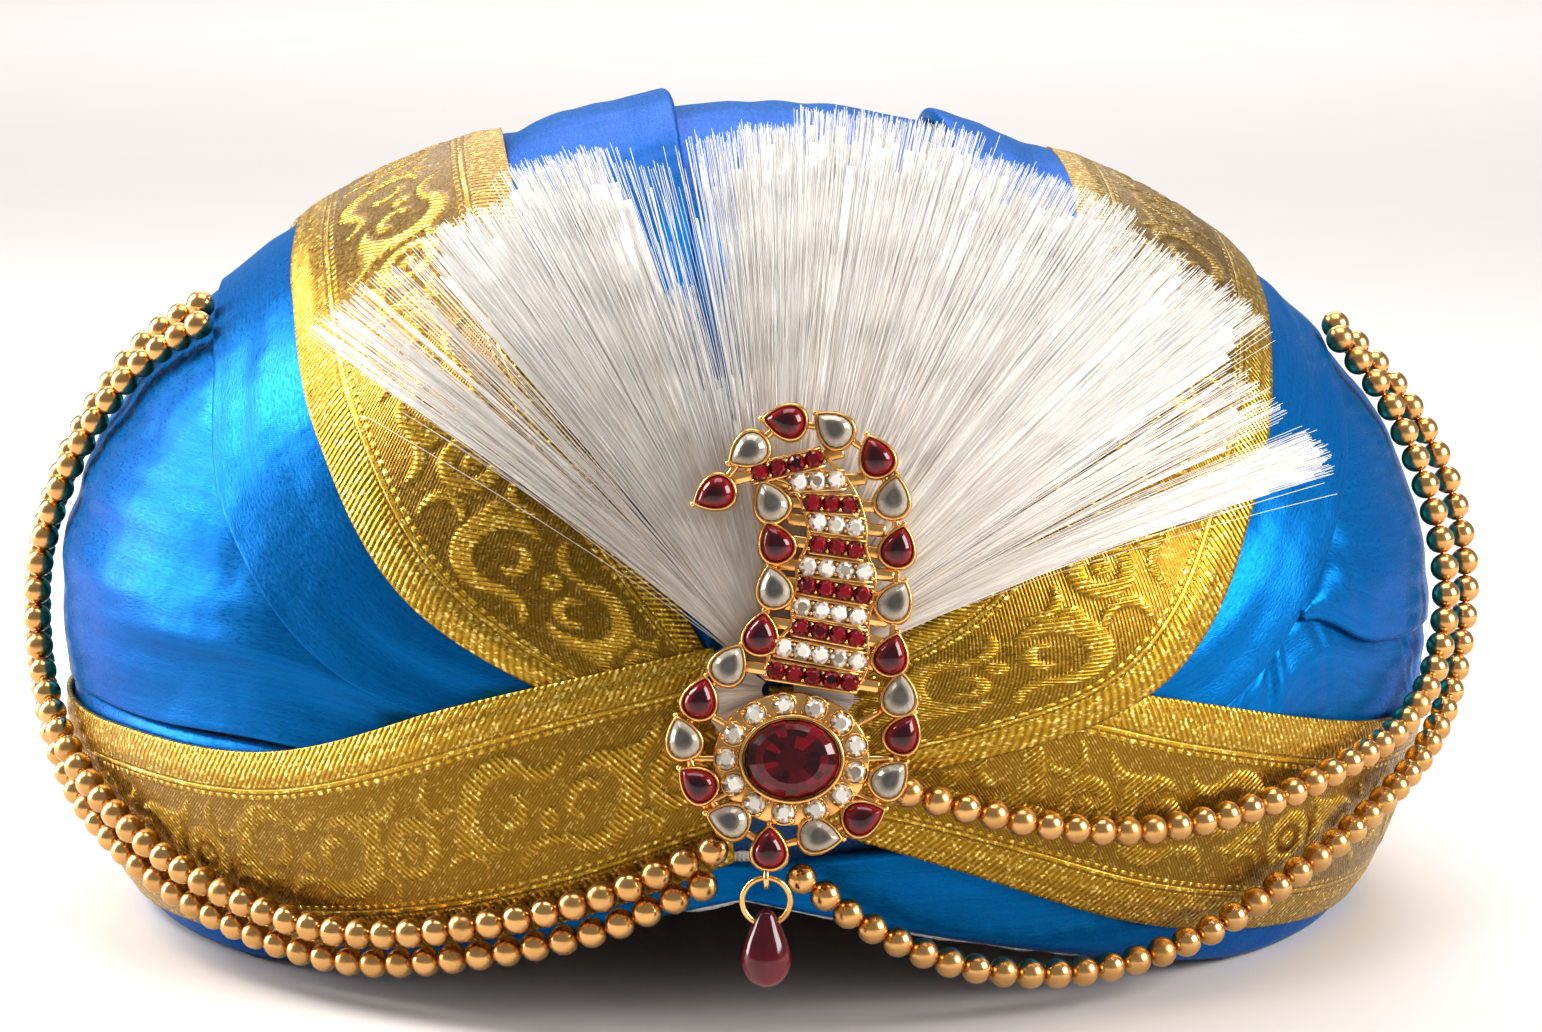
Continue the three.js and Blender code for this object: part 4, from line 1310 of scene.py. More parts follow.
@dataclass(frozen=True)
class Plume:
    """The fan of cut white fibre behind the brooch: flat locks with loose fibres over them."""

    bearing: float = 2.6
    rise: float = 4.0
    root_lift: float = 9.2
    tip_rise: float = 11.0
    root_arc: float = 0.02
    full_arc: float = 0.94
    root_half: float = 0.35
    depth: float = 1.3
    lock_thickness: float = 0.12
    fibre_half: float = 0.06
    sections: int = 7
    lit_spread: float = 0.45
    underside: float = -0.2
    # Spread of the angles, in degrees: at the root, in a lock, of most fibres and of the few that stray.
    root_spread: float = 2.0
    lock_spread: float = 0.5
    fibre_spread: float = 0.7
    stray_spread: float = 3.4
    stray_share: float = 0.05
    # Short fibres: their share and how much of the length they lack at most.
    short_share: float = 0.2
    short_most: float = 0.3
    # Locks end short of the fibres by a share of the length between these two.
    lock_least: float = 0.02
    lock_most: float = 0.14
    reach_spread: float = 0.006
    tone_spread: float = 0.04
    # Waves of the cut edge and of the tone across the fan: height and frequency.
    edge_waves: Table = ((0.012, 41), (0.008, 97))
    tone_waves: Table = ((0.26, 1.15), (0.16, 2.7))
    seed: int = 23
    tufts: tuple[Tuft, ...] = (
        Tuft(137, 131, 0.85, 150, 7, 0.4),
        Tuft(131, 122, 0.865, 60, 3, 0.25),
        Tuft(122, 113, 0.885, 400, 34, 0.9),
        Tuft(112.5, 104, 0.945, 440, 44, 0.9),
        Tuft(104, 100, 0.66, 90, 8, 0.5),
        Tuft(100, 96, 0.5, 90, 9, 0.5),
        Tuft(103, 96, 0.9, 50, 2, 0.2),
        Tuft(96, 92, 0.94, 90, 4, 0.3),
        Tuft(92, 86.5, 0.96, 300, 26, 0.9),
        Tuft(86.5, 71.5, 1.01, 620, 60, 0.95),
        Tuft(71.5, 56, 0.955, 600, 60, 0.95),
        Tuft(56, 39.5, 0.915, 580, 54, 0.9),
        Tuft(39, 31, 0.82, 110, 5, 0.4),
        Tuft(27.5, 23.5, 0.84, 190, 15, 0.6),
        Tuft(390, 140, 0.1, 130, 48, 1.2, 1.0),
    )

    def shell(self) -> Shell:
        """Every lock and every fibre, from the root to its cut end.

        Returns:
            The shell.
        """
        draw = np.random.default_rng(self.seed)
        shells = []
        for tuft in self.tufts:
            shells.append(self._strands(tuft, draw, tuft.locks, tuft.lock_half, self.lock_thickness, 4))
            shells.append(self._strands(tuft, draw, tuft.fibres, self.fibre_half, self.fibre_half, 3))
        return joined(shells)

    def _strands(
        self, tuft: Tuft, draw: np.random.Generator, count: int, half: float, thick: float, corners: int,
    ) -> Shell:
        """Slim closed strands of one tuft.

        Args:
            tuft: the tuft.
            draw: random draw.
            count: number of strands.
            half: half their width at the cut end.
            thick: half their thickness.
            corners: corners of their cross section, 4 for a flat lock and 3 for a fibre.

        Returns:
            The shell, with the share along, the tone and the place across as its detail values.
        """
        flat = corners == 4
        spot = (np.arange(count) + 0.5) / count if flat else draw.random(count)
        scatter = draw.normal(0, 1, count)
        end = tuft.start + (tuft.end - tuft.start) * spot + scatter * self._stray(draw, count, flat)
        start = 90 + tuft.spread * (end - 90) + draw.normal(0, self.root_spread, count)
        reach = tuft.reach * self._lengths(draw, spot, flat)
        deep = draw.normal(0, 0.3, count) * self.depth + 0.5 * self.depth * (not flat)
        share = np.linspace(0, 1, self.sections + 1)[None, :]
        line, aside, out = self._paths(start, end, reach, deep, share)
        angles = np.radians([0, 90, 180, 270] if flat else [90, 210, 330])
        wide = (min(half, self.root_half) + max(0.0, half - self.root_half) * share)[..., None, None]
        across = np.cos(angles)[:, None] * aside[:, :, None] * wide
        points = line[:, :, None] + across + np.sin(angles)[:, None] * out[:, :, None] * thick
        detail = np.zeros_like(points)
        detail[..., 0] = share[..., None]
        tone = 0.5 + self._waves(self.tone_waves, end) + draw.normal(0, self.tone_spread, count)
        detail[..., 1] = tone[:, None, None]
        detail[..., 2] = np.cos(angles) * wide[..., 0]
        return self._rods(points, detail)

    def _stray(self, draw: np.random.Generator, count: int, flat: bool) -> Array:
        """Spread of each strand's angle: small in a lock, wide for the few fibres that stray.

        Args:
            draw: random draw.
            count: number of strands.
            flat: True for locks.

        Returns:
            One spread for each strand, in degrees.
        """
        if flat:
            return np.full(count, self.lock_spread)
        return np.where(draw.random(count) < self.stray_share, self.stray_spread, self.fibre_spread)

    def _waves(self, waves: Table, place: Array) -> Array:
        """Sum of waves at places across the fan."""
        return sum(height * np.sin(frequency * place) for height, frequency in waves)

    def _lengths(self, draw: np.random.Generator, spot: Array, flat: bool) -> Array:
        """Length of each strand as a share of its tuft's reach.

        Args:
            draw: random draw.
            spot: place of each strand across its tuft.
            flat: True for locks, which end a little under the fibres.

        Returns:
            One share for each strand.
        """
        count = len(spot)
        chosen = draw.random(count) < self.short_share
        short = np.where(chosen, draw.uniform(0, self.short_most, count), 0) * (not flat)
        uneven = self._waves(self.edge_waves, spot) + draw.normal(0, self.reach_spread, count)
        under = draw.uniform(self.lock_least, self.lock_most, count) * flat
        return 1 + uneven - short - under

    def _paths(
        self, start: Array, end: Array, reach: Array, deep: Array, share: Array,
    ) -> tuple[Array, ...]:
        """Middle line, sideways and outward directions of strands.

        Args:
            start: angle of each strand at its root.
            end: its angle at the cut end.
            reach: its length as an angle on the dome.
            deep: its depth in the plume.
            share: places along it.

        Returns:
            Three arrays by strand, place along it and coordinate.
        """
        angle = np.radians(start[:, None] + (end - start)[:, None] * share**0.6)
        arc = self.root_arc + (reach[:, None] - self.root_arc) * share
        root = DOME.direction(self.bearing, self.rise)
        right = unit(np.cross([0, 0, 1], root))
        up = np.cross(root, right)
        heading = np.cos(angle)[..., None] * right + np.sin(angle)[..., None] * up
        aside = -np.sin(angle)[..., None] * right + np.cos(angle)[..., None] * up
        toward = np.cos(arc)[..., None] * root + np.sin(arc)[..., None] * heading
        rising = self.tip_rise * np.minimum(1, arc / self.full_arc) ** 1.5
        lift = self.root_lift + rising + deep[:, None] * (0.2 + 0.8 * share)
        line = DOME.point(toward, lift)
        return line, aside, DOME.point(toward, lift + 1) - line

    def _rods(self, points: Array, detail: Array) -> Shell:
        """Closed rods from the rings of each strand.

        Args:
            points: points by strand, ring, corner and coordinate.
            detail: three detail values for each point, in the same order.

        Returns:
            The shell.
        """
        strands, rings, sides, _ = points.shape
        numbers = np.arange(strands * rings * sides).reshape(strands, rings, sides)
        here, there = numbers[:, :-1], numbers[:, 1:]
        quads = np.stack([here, np.roll(here, -1, 2), np.roll(there, -1, 2), there], axis=-1).reshape(-1, 4)
        caps = np.concatenate([numbers[:, 0, ::-1], numbers[:, -1]])
        return Shell(points.reshape(-1, 3), quads.tolist() + caps.tolist(), detail.reshape(-1, 3))

    def dress(self, finishes: Finishes) -> None:
        """Builds the plume.

        Args:
            finishes: every finish of the turban.
        """
        shell = self.shell()
        piece = make_piece("plume_fibres", shell, finishes.fibre, ["plume"])
        self._soften(piece.data, shell)

    def _soften(self, mesh: bpy.types.Mesh, shell: Shell) -> None:
        """Gives the strands the normals of a smooth fan, so that they shade as soft hair.

        Args:
            mesh: the plume's mesh.
            shell: the shape it was made from, with each strand's tone as its second detail value.
        """
        lean = self.lit_spread * (shell.details()[:, 1:2] - 0.5) * np.array([1.0, 0.0, 0.0])
        outward = unit(unit(shell.points - np.array(DOME.centre)) + lean)
        corners = np.empty(len(mesh.loops), np.int32)
        mesh.loops.foreach_get("vertex_index", corners)
        sizes = np.empty(len(mesh.polygons), np.int32)
        mesh.polygons.foreach_get("loop_total", sizes)
        flat = np.empty(3 * len(mesh.polygons), np.float32)
        mesh.polygons.foreach_get("normal", flat)
        facing = (np.repeat(flat.reshape(-1, 3), sizes, axis=0) * outward[corners]).sum(axis=1)
        side = np.where(facing < self.underside, -1.0, 1.0)[:, None]
        mesh.normals_split_custom_set((outward[corners] * side).tolist())


# Brooch and pendant

Outline = Callable[[float, float], Array]


def ellipse(half_width: float, half_height: float, sides: int) -> Outline:
    """Ellipse outline that can be scaled and grown by a rim.

    Args:
        half_width: half its width.
        half_height: half its height.
        sides: number of its sides.

    Returns:
        A function from a scale and an added rim to the outline's points.
    """
    angle = 2 * np.pi * (np.arange(sides) + 0.5) / sides

    def outline(scale: float, rim: float) -> Array:
        """Points of the ellipse."""
        wide, high = scale * half_width + rim, scale * half_height + rim
        return np.stack([wide * np.cos(angle), high * np.sin(angle)], axis=-1)

    return outline


def teardrop(half_width: float, half_height: float, sides: int) -> Outline:
    """Pear outline, its tip up, that can be scaled and grown by a rim.

    Args:
        half_width: half its width.
        half_height: half its height.
        sides: number of its sides.

    Returns:
        A function from a scale and an added rim to the outline's points.
    """
    angle = 2 * np.pi * np.arange(sides) / sides
    wide = np.sin(angle) * np.abs(np.sin(angle / 2)) ** 0.75 * 1.24

    def outline(scale: float, rim: float) -> Array:
        """Points of the pear."""
        across = (scale * half_width + rim) * wide
        return np.stack([across, (scale * half_height + rim) * np.cos(angle)], axis=-1)

    return outline


def stacked(outline: Outline, rows: Table, base: float = 0.0, closed: bool = False) -> Shell:
    """Solid through copies of an outline.

    Args:
        outline: the outline in the brooch's plane.
        rows: scale, rim and height of each copy.
        base: height that is added to every row.
        closed: True for a collar, whose last row joins its first.

    Returns:
        The shell, with the scale as its first detail value.
    """
    rings = []
    for scale, rim, out in rows:
        flat = outline(scale, rim)
        rings.append(np.column_stack([flat, np.full(len(flat), base + out)]))
    points = np.stack(rings)
    detail = np.zeros_like(points)
    detail[..., 0] = np.array([row[0] for row in rows])[:, None]
    return loft(points, closed, detail)


def in_plane(degrees: float, at: Array | tuple[float, float]) -> tuple[Array, Array]:
    """Axes and shift that turn a shell in the brooch's plane and move it to a place."""
    c, s = math.cos(math.radians(degrees)), math.sin(math.radians(degrees))
    return np.array([[c, s, 0], [-s, c, 0], [0, 0, 1]]), np.array([at[0], at[1], 0.0])


def faceted(shell: Shell, seed: int, brightest_reflection: float = 1.0) -> Shell:
    """The shell with a painted tone of its own on each facet, for the light that a cut stone's facets throw
    back.

    Args:
        shell: the stone.
        seed: start of the random draw.
        brightest_reflection: highest painted facet tone that is drawn.

    Returns:
        The shell with its facets apart and the tone as its first detail value.
    """
    # Painted reflections: a random tone for each facet.
    painted_facet_tones = np.random.default_rng(seed).uniform(0.3, brightest_reflection, len(shell.faces))
    points = np.concatenate([shell.points[face] for face in shell.faces])
    detail = np.zeros_like(points)
    faces = []
    start = 0
    for face, tone in zip(shell.faces, painted_facet_tones):
        faces.append(list(range(start, start + len(face))))
        detail[start:start + len(face), 0] = tone
        start += len(face)
    return Shell(points, faces, detail)


def brilliant(radius: float, height: float, base: float) -> Shell:
    """Round cut stone with kite facets round a flat table.

    Args:
        radius: its radius.
        height: its height.
        base: height of its foot.

    Returns:
        The shell.
    """
    sides = 12
    angle = 2 * np.pi * np.arange(sides) / sides
    odd = np.arange(sides) % 2
    # Radius of even and odd corners, then their height.
    rows = ((1.0, 1.0, 0.0, 0.0), (1.0, 1.0, 0.22, 0.22), (0.84, 0.7, 0.62, 0.8), (0.52, 0.52, 1.0, 1.0))
    rings = []
    for even_scale, odd_scale, even_out, odd_out in rows:
        reach = radius * np.where(odd, odd_scale, even_scale)
        level = base + height * np.where(odd, odd_out, even_out)
        rings.append(np.stack([reach * np.cos(angle), reach * np.sin(angle), level], axis=-1))
    return loft(np.stack(rings))


@dataclass(frozen=True)
class Brooch:
    """The paisley brooch in its leaning plane: across, up and out from the middle of the oval stone."""

    bearing: float = 3.6
    rise: float = 10.5
    lift: float = 11.2
    fall: float = 26.0
    lean: float = 11.5
    plate: float = 1.6
    stone_gap: float = 0.3
    pear_half_length: float = 3.7
    pear_half_width: float = 2.9
    pear_tilt: float = 20.0
    pear_count: int = 24
    pear_bottom: int = 14
    halo_count: int = 13
    halo_size: tuple[float, float] = (12.3, 10.1)
    halo_radius: float = 2.0
    halo_height: float = 1.7
    halo_margin: float = 2.5
    oval_size: tuple[float, float] = (9.0, 7.5)
    oval_brightest_reflection: float = 0.8
    row_pitch: float = 3.5
    row_base: float = 1.7
    row_radius: float = 1.78
    row_height: float = 1.5
    row_brightest_reflection: float = 1.4
    bar_end: float = 4.0
    claw_radius: float = 0.42
    granule_radius: float = 0.7
    strut_radius: float = 0.75
    strut_height: float = 0.8
    # Struts from the oval plate to the pears: their angles, and how far from the middle they reach.
    spokes: tuple[float, ...] = (-28, 0, 28, 152, 180, 208)
    spoke_start: float = 12.0
    spoke_end: float = 19.0
    eye: tuple[float, float, float] = (-4.8, -22.3, 0.8)
    eye_radius: float = 1.65
    wire: float = 0.55
    # Line of the pear stones from the hook down to the lowest one, and up the other side: across, up.
    paisley_down: Table = (
        (-14.6, 49.7), (-1.3, 63.3), (15.8, 56.8), (20, 39.8), (18.7, 19.6), (21, 4.8), (13.5, -10.9),
        (-4.2, -16.6),
    )
    paisley_up: Table = (
        (-4.2, -16.6), (-15.2, -8.4), (-20.4, 3.9), (-14.6, 14.8), (-5.8, 23.5), (-3, 36.7), (-4, 48.3),
    )
    # Rows of small stones down the stem: across, up, tilt, stones. Every other row is red.
    rows: Table = (
        (-0.9, 55, 14, 4), (4.8, 52.1, 3, 3), (7.4, 47.8, -3, 3), (8.4, 43.9, -7.5, 3), (8.5, 39.7, -8, 3),
        (8.3, 35.5, -6, 4), (8.1, 31.6, -10, 4), (7.2, 27.6, -10, 4), (7.0, 23.6, -11, 4),
        (5.4, 19.5, -10.5, 5), (3.9, 15.4, -9, 5),
    )
    # Profiles of metal and stone: scale of the outline, rim added to it, height.
    pear_cup: Table = (
        (0.4, 0.0, 0.0), (1, 0.8, 0.0), (1, 0.95, 0.7), (1, 0.85, 1.7), (1, 0.62, 2.35), (1, 0.36, 2.62),
        (1, 0.12, 2.45), (1, 0.06, 1.75), (0.4, 0.0, 1.62),
    )
    oval_plate: Table = (
        (0.7, 0, 0), (1, -0.2, 0), (1, 0, 0.5), (1, -0.1, 1.3), (1, -0.5, 1.6), (0.7, 0, 1.7),
    )
    oval_bezel: Table = (
        (1, 0.12, 1.5), (1, 1.0, 1.5), (1, 0.95, 3.0), (1, 0.6, 3.55), (1, 0.2, 3.4), (1, 0.1, 2.6),
    )
    halo_collar: Table = ((1, 0.1, 1.5), (1, 0.5, 1.5), (1, 0.45, 2.3), (1, 0.2, 2.5), (1, 0.08, 2.1))
    oval_cut: Table = ((1, 0, 0), (1, 0, 1.0), (0.9, 0, 2.2), (0.76, 0, 3.3), (0.6, 0, 4.0), (0.3, 0, 4.2))
    clear_cut: Table = ((1, 0, 0), (1, 0, 0.4), (0.86, 0, 1.2), (0.6, 0, 1.9), (0.3, 0, 1.95))
    # Domed red pears: height of the dome and the angles of its levels.
    dome_height: float = 2.3
    dome_levels: tuple[float, ...] = (0, 8, 20, 34, 48, 62, 75, 84)
    # Cross section of a row's bar: across it and out.
    bar_profile: Table = ((-1.2, 0.2), (1.2, 0.2), (1.2, 1.1), (0.9, 1.4), (-0.9, 1.4), (-1.2, 1.1))

    def axes(self) -> tuple[Array, Array]:
        """Frame of the brooch's plane.

        Returns:
            Across, up and out as rows, and the place of the oval's middle.
        """
        lean = math.radians(self.lean)
        up = np.array([0, math.sin(lean), math.cos(lean)])
        across = np.array([1.0, 0, 0])
        middle = DOME.point(DOME.direction(self.bearing, self.rise), self.lift) - self.fall * up
        return np.stack([across, up, np.cross(across, up)]), middle

    def eye_centre(self) -> Array:
        """Middle of the eye that carries the pendant."""
        axes, middle = self.axes()
        return np.array(self.eye) @ axes + middle

    def pear_places(self) -> list[tuple[float, Array]]:
        """Places of the pear stones, each with its tip up the line and a little outward.

        Returns:
            Turn and place of each stone in the brooch's plane.
        """
        places = []
        for i in range(self.pear_count):
            falling = i <= self.pear_bottom
            line = np.array(self.paisley_down if falling else self.paisley_up)
            share = i / self.pear_bottom
            if not falling:
                share = (i - self.pear_bottom) / (self.pear_count - 1 - self.pear_bottom)
            before, at, after = smooth_line(line, share + np.array([-1e-4, 0, 1e-4]))
            rising = (before - after) if falling else (after - before)
            tilt = -self.pear_tilt if falling else self.pear_tilt
            turn = math.degrees(math.atan2(rising[1], rising[0])) - 90 + tilt
            places.append((0.0 if i == self.pear_bottom else turn, at))
        return places

    def setting(self) -> Shell:
        """All the brooch's metal, soldered into one.

        Returns:
            The shell in the brooch's plane.
        """
        shells = [*self._pear_cups(), *self._oval_cup(), *self._halo_cups(), *self._stem(), *self._struts()]
        angle = np.linspace(0, 2 * np.pi, 28, endpoint=False)
        ring = np.stack([0 * angle, np.cos(angle), np.sin(angle)], axis=-1) * self.eye_radius + self.eye
        shells.append(tube(ring, self.wire, 10, closed=True))
        return joined(shells)

    def _pear_cups(self) -> list[Shell]:
        """Plate and rolled bezel of each pear stone, with a granule at its tip.

        Returns:
            The shells in the brooch's plane.
        """
        outline = teardrop(self.pear_half_width, self.pear_half_length, 36)
        cup = stacked(outline, self.pear_cup)
        tip = ball((0, self.pear_half_length + 0.75, 1.5), 0.62)
        return [shell.moved(*in_plane(turn, at)) for turn, at in self.pear_places() for shell in (cup, tip)]

    def _oval_cup(self) -> list[Shell]:
        """Plate under the oval stone and its beaded bezel.

        Returns:
            The shells in the brooch's plane.
        """
        plate = ellipse(*(size + self.halo_margin for size in self.halo_size), 64)
        oval = ellipse(*self.oval_size, 64)
        shells = [stacked(plate, self.oval_plate), stacked(oval, self.oval_bezel, closed=True)]
        beads = ellipse(*self.oval_size, 52)(1.0, 1.25)
        shells += [ball((*at, 2.1), self.claw_radius, 6) for at in beads]
        return shells

    def _halo_cups(self) -> list[Shell]:
        """Collar and claws of each halo stone, with granules between the stones.

        Returns:
            The shells in the brooch's plane.
        """
        ring = stacked(ellipse(self.halo_radius, self.halo_radius, 20), self.halo_collar, closed=True)
        claws = [ball((*at, 2.75), self.claw_radius, 6) for at in ellipse(1.75, 1.75, 4)(1.0, 0.0)]
        between = ellipse(*self.halo_size, self.halo_count * 2)(1.0, 1.5)
        shells = [ball((*at, 1.9), self.granule_radius) for at in between]
        for at in ellipse(*self.halo_size, self.halo_count)(1.0, 0.0):
            shells += [shell.moved(*in_plane(0, at)) for shell in (ring, *claws)]
        return shells

    def _stem(self) -> list[Shell]:
        """Bar, edge wires and claws of each row of small stones.

        Returns:
            The shells in the brooch's plane.
        """
        shells = []
        profile = np.array(self.bar_profile)
        for across, up, tilt, stones in self.rows:
            reach = stones * self.row_pitch / 2
            end = reach + self.bar_end
            full = end - 0.4
            turn = in_plane(tilt, (across, up))
            bar = [
                np.column_stack([np.full(len(profile), at), profile * (size, 1)])
                for at, size in ((-end, 0.7), (-full, 1), (full, 1), (end, 0.7))
            ]
            parts = [loft(np.stack(bar))]
            for side in (-1.75, 1.75):
                line = np.linspace((-reach, side, 1.75), (reach, side, 1.75), 6)
                parts.append(tube(line, 0.36, 8))
            for gap in (np.arange(stones + 1) - stones / 2) * self.row_pitch:
                parts += [ball((gap, side, 2.3), 0.46, 6) for side in (-1.0, 1.0)]
            shells += [part.moved(*turn) for part in parts]
        return shells + self._rails()

    def _rails(self) -> list[Shell]:
        """Wires along the left and right ends of the rows.

        Returns:
            The shells in the brooch's plane.
        """
        shells = []
        for side in (-1, 1):
            ends = []
            for across, up, tilt, stones in self.rows:
                reach = side * (stones * self.row_pitch / 2 + 0.3)
                slope = math.radians(tilt)
                ends.append((across + reach * math.cos(slope), up + reach * math.sin(slope), 1.6))
            line = smooth_line(np.array(ends), np.linspace(0, 1, 60))
            shells.append(tube(line, 0.42, 8))
        return shells

    def _struts(self) -> list[Shell]:
        """Round struts between the pear plates and from the oval plate to them.

        Returns:
            The shells in the brooch's plane.
        """
        places = [at for _, at in self.pear_places()]
        lines = list(zip(places[:-1], places[1:]))
        for degrees in self.spokes:
            spoke = np.array([math.cos(math.radians(degrees)), math.sin(math.radians(degrees))])
            lines.append((spoke * self.spoke_start, spoke * self.spoke_end))
        shells = []
        for start, end in lines:
            line = np.linspace((*start, self.strut_height), (*end, self.strut_height), 5)
            shells.append(tube(line, self.strut_radius, 10))
        return shells

    def pear_stone(self, red: bool) -> Shell:
        """One pear stone.

        Args:
            red: True for a domed red stone, False for a clear one with a flat table.

        Returns:
            The shell, its middle at the origin.
        """
        # The first detail value is the outline's scale, largest at the rim, where the stone's finish paints
        # its lighter rim colour as light from the glass and foil.
        base = self.plate + self.stone_gap
        if not red:
            return stacked(teardrop(self.pear_half_width, self.pear_half_length, 16), self.clear_cut, base)
        levels = np.radians(self.dome_levels)
        rows = tuple((math.cos(level), 0.0, self.dome_height * math.sin(level)) for level in levels)
        return stacked(teardrop(self.pear_half_width, self.pear_half_length, 32), rows, base)

    def dress(self, finishes: Finishes) -> None:
        """Builds the setting and every stone.

        Args:
            finishes: every finish of the turban.
        """
        frame = self.axes()
        metal = self.setting().moved(*frame)
        make_piece("brooch_metal", metal, finishes.setting, ["brooch_setting"])
        base = self.plate + self.stone_gap
        oval = stacked(ellipse(*self.oval_size, 20), self.oval_cut, base)
        # Painted reflections: each facet of the oval gets a tone of its own.
        oval = faceted(oval, 2, self.oval_brightest_reflection)
        make_piece("oval_glass", oval.moved(*frame), finishes.ruby, ["oval_stone"], smooth=False)
        for i, (turn, at) in enumerate(self.pear_places()):
            red = i % 2 == 0
            shell = self.pear_stone(red).moved(*in_plane(turn, at)).moved(*frame)
            finish, slot = (finishes.ruby, Slot.RUBY) if red else (finishes.clear, Slot.CLEAR)
            number = f"{i + 1:02d}"
            make_piece(f"pear_glass_{number}", shell, finish, [f"pear_stone_{number}"], smooth=red)
        cut = brilliant(self.halo_radius, self.halo_height, base)
        places = ellipse(*self.halo_size, self.halo_count)(1.0, 0.0)
        halo = faceted(joined([cut.moved(*in_plane(17 * i, at)) for i, at in enumerate(places)]), 3)
        halo = halo.moved(*frame)
        make_piece("halo_glass", halo, finishes.brilliant, ["halo_stones"], smooth=False)
        self._dress_rows(finishes, frame)

    def _dress_rows(self, finishes: Finishes, frame: tuple[Array, Array]) -> None:
        """Builds the rows of small stones.

        Args:
            finishes: every finish of the turban.
            frame: axes and middle of the brooch's plane.
        """
        cut = brilliant(self.row_radius, self.row_height, self.row_base)
        for i, (across, up, tilt, stones) in enumerate(self.rows):
            places = [((k - (stones - 1) / 2) * self.row_pitch, 0.0) for k in range(stones)]
            row = joined([cut.moved(*in_plane(23 * k, at)) for k, at in enumerate(places)])
            # Painted reflections: each facet of the row gets a tone of its own.
            row = faceted(row, i, self.row_brightest_reflection)
            shell = row.moved(*in_plane(tilt, (across, up))).moved(*frame)
            finish, slot = (finishes.brilliant, Slot.CLEAR) if i % 2 else (finishes.ruby, Slot.RUBY)
            number = f"{i + 1:02d}"
            make_piece(f"row_glass_{number}", shell, finish, [f"stone_row_{number}"], smooth=False)


@dataclass(frozen=True)
class Pendant:
    """The jump ring in the brooch's eye and the glass drop on it."""

    ring_radius: float = 4.5
    wire: float = 0.55
    drop_length: float = 15.0
    drop_radius: float = 4.75
    drill_depth: float = 2.9
    # Half outline of the drop: share down it, share of its radius.
    profile: Table = (
        (0.0, 0.1), (0.04, 0.3), (0.2, 0.56), (0.42, 0.86), (0.64, 1.0), (0.84, 0.82), (0.96, 0.42),
        (1.0, 0.06),
    )

    def dress(self, finishes: Finishes, eye: Array) -> None:
        """Builds the ring and the drop.

        Args:
            finishes: every finish of the turban.
            eye: middle of the eye that carries the ring.
        """
        angle = np.linspace(0, 2 * np.pi, 64, endpoint=False)
        circle = np.stack([np.cos(angle), 0 * angle, np.sin(angle) - 1], axis=-1)
        ring = tube(eye + circle * self.ring_radius, self.wire, 12, closed=True)
        make_piece("ring_wire", ring, finishes.setting, ["jump_ring"], Body.PENDANT)
        down, wide = smooth_line(np.array(self.profile), np.linspace(0, 1, 40)).T
        top = eye - (0, 0, 2 * self.ring_radius - self.drill_depth)
        round_it = np.linspace(0, 2 * np.pi, 40, endpoint=False)
        spoke = np.stack([np.cos(round_it), np.sin(round_it), 0 * round_it], axis=-1)
        rings = spoke[None] * (wide * self.drop_radius)[:, None, None]
        rings = rings + top - np.stack([0 * down, 0 * down, down * self.drop_length], axis=-1)[:, None]
        # The first detail value grows down the drop, so the finish paints it from the dark depth colour at
        # the top to the lighter rim colour at the bottom: a painted glow of light through the glass.
        detail = np.zeros_like(rings)
        detail[..., 0] = down[:, None]
        drop = loft(rings, detail=detail)
        make_piece("drop_glass", drop, finishes.drop, ["drop_bead"], Body.PENDANT)


# Studio


@dataclass(frozen=True)
class Lamp:
    """One soft area light."""

    name: str
    place: tuple[float, float, float]
    size: float
    power: float
    colour: tuple[float, float, float]
    aim: tuple[float, float, float] = (0.0, 0.0, 0.08)


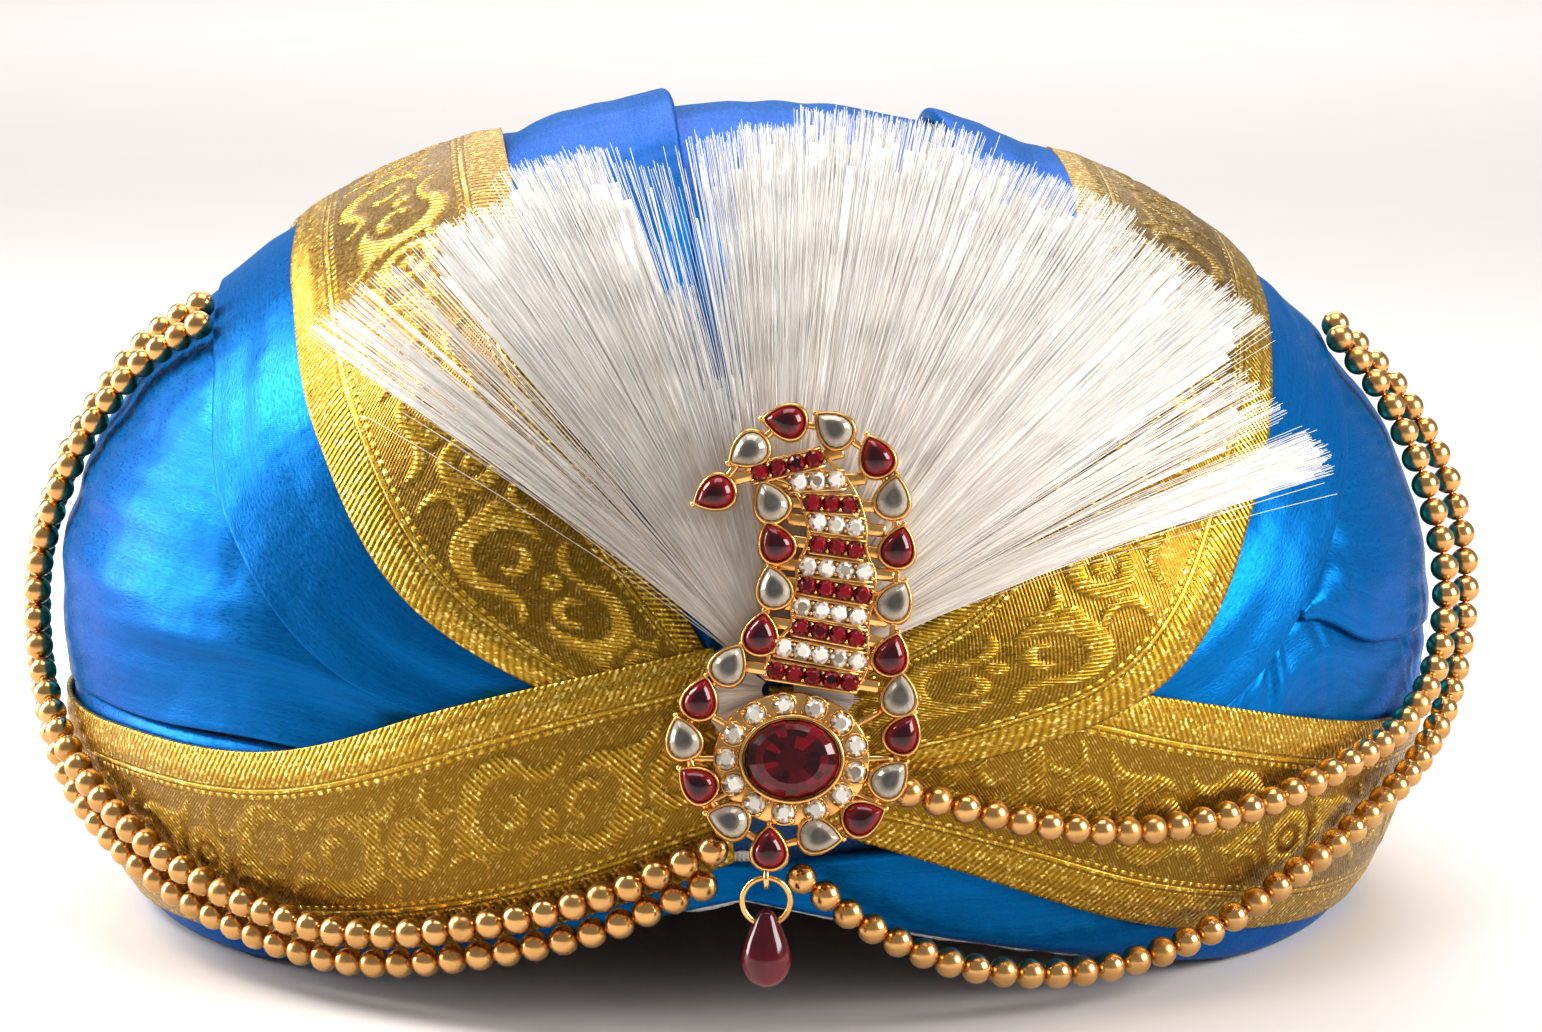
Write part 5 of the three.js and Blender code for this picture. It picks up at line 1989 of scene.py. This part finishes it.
@dataclass(frozen=True)
class Studio:
    """Pale floor, soft light and the camera."""

    target: tuple[float, float, float] = (0.0043, 0.003, 0.0805)
    distance: float = 0.9
    elevation: float = 10.0
    focal_pixels: float = 4103.0
    image_width: float = 1542.0
    sensor: float = 36.0
    floor_half: float = 9.0
    floor_dark: Colour = (0.6, 0.56, 0.54, 1)
    floor_pale: Colour = (0.63, 0.59, 0.57, 1)
    world_colour: Colour = (0.97, 0.98, 1.0, 1)
    world_strength: float = 0.36
    lamps: tuple[Lamp, ...] = (
        Lamp("window_high", (-0.9, 0.2, 0.85), 0.45, 19.0, (1.0, 0.98, 0.95)),
        Lamp("window_low", (-1.2, 0.25, 0.32), 0.6, 18.0, (0.97, 0.98, 1.0)),
        Lamp("overhead", (0.1, 0.0, 1.2), 0.8, 10.0, (1.0, 1.0, 1.0)),
        Lamp("fill_right", (1.0, -0.4, 0.5), 0.6, 19.0, (1.0, 0.98, 0.96)),
        Lamp("backdrop", (0.0, 3.6, 2.4), 3.2, 130.0, (1.0, 1.0, 1.0), (0.0, 3.6, 0.0)),
    )

    def build(self) -> None:
        """Builds the floor, the lights, the world and the camera."""
        self._floor()
        self._light()
        self._camera()

    def _floor(self) -> None:
        """Pale floor that fills the view."""
        half = self.floor_half
        corners = [(-half, -half, 0), (half, -half, 0), (half, half, 0), (-half, half, 0)]
        mesh = bpy.data.meshes.new("studio_floor")
        mesh.from_pydata(corners, [], [(0, 1, 2, 3)])
        material, bench, shader = new_material("studio_paper", {"Roughness": 0.7})
        cloud = bench.noise(bench.place(), 6.0, 3.0)
        bench.feed(shader.inputs["Base Color"], bench.blend(cloud, self.floor_dark, self.floor_pale))
        mesh.materials.append(material)
        floor = bpy.data.objects.new("studio_floor", mesh)
        bpy.context.scene.collection.objects.link(floor)

    def _light(self) -> None:
        """Soft lamps aimed at the turban, and a pale world."""
        for lamp in self.lamps:
            data = bpy.data.lights.new(lamp.name, "AREA")
            data.size = lamp.size
            data.energy = lamp.power
            data.color = lamp.colour
            light = bpy.data.objects.new(lamp.name, data)
            light.location = lamp.place
            toward = Vector(lamp.aim) - Vector(lamp.place)
            light.rotation_euler = toward.to_track_quat("-Z", "Y").to_euler()
            bpy.context.scene.collection.objects.link(light)
        world = bpy.data.worlds.new("studio_world")
        world.use_nodes = True
        background = world.node_tree.nodes["Background"]
        background.inputs["Color"].default_value = self.world_colour
        background.inputs["Strength"].default_value = self.world_strength
        bpy.context.scene.world = world
        bpy.context.scene.view_settings.view_transform = "Standard"

    def _camera(self) -> None:
        """Camera at the photograph's angle."""
        tilt = math.radians(self.elevation)
        back = Vector((0, -math.cos(tilt), math.sin(tilt)))
        data = bpy.data.cameras.new("studio_camera")
        data.sensor_width = self.sensor
        data.lens = self.sensor * self.focal_pixels / self.image_width
        camera = bpy.data.objects.new("studio_camera", data)
        camera.location = Vector(self.target) + back * self.distance
        camera.rotation_euler = (-back).to_track_quat("-Z", "Y").to_euler()
        bpy.context.scene.collection.objects.link(camera)
        bpy.context.scene.camera = camera


def main() -> None:
    """Builds the dressed turban in its studio."""
    logging.basicConfig(level=logging.INFO, format="%(name)s %(message)s")
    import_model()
    Studio().build()
    finishes = Finishes()
    brooch = Brooch()
    CrownCore().dress(finishes)
    SatinWraps().dress(finishes)
    LaceBands().dress(finishes)
    BeadStrands().dress(finishes)
    Plume().dress(finishes)
    brooch.dress(finishes)
    Pendant().dress(finishes, brooch.eye_centre())


if __name__ == "__main__":
    main()
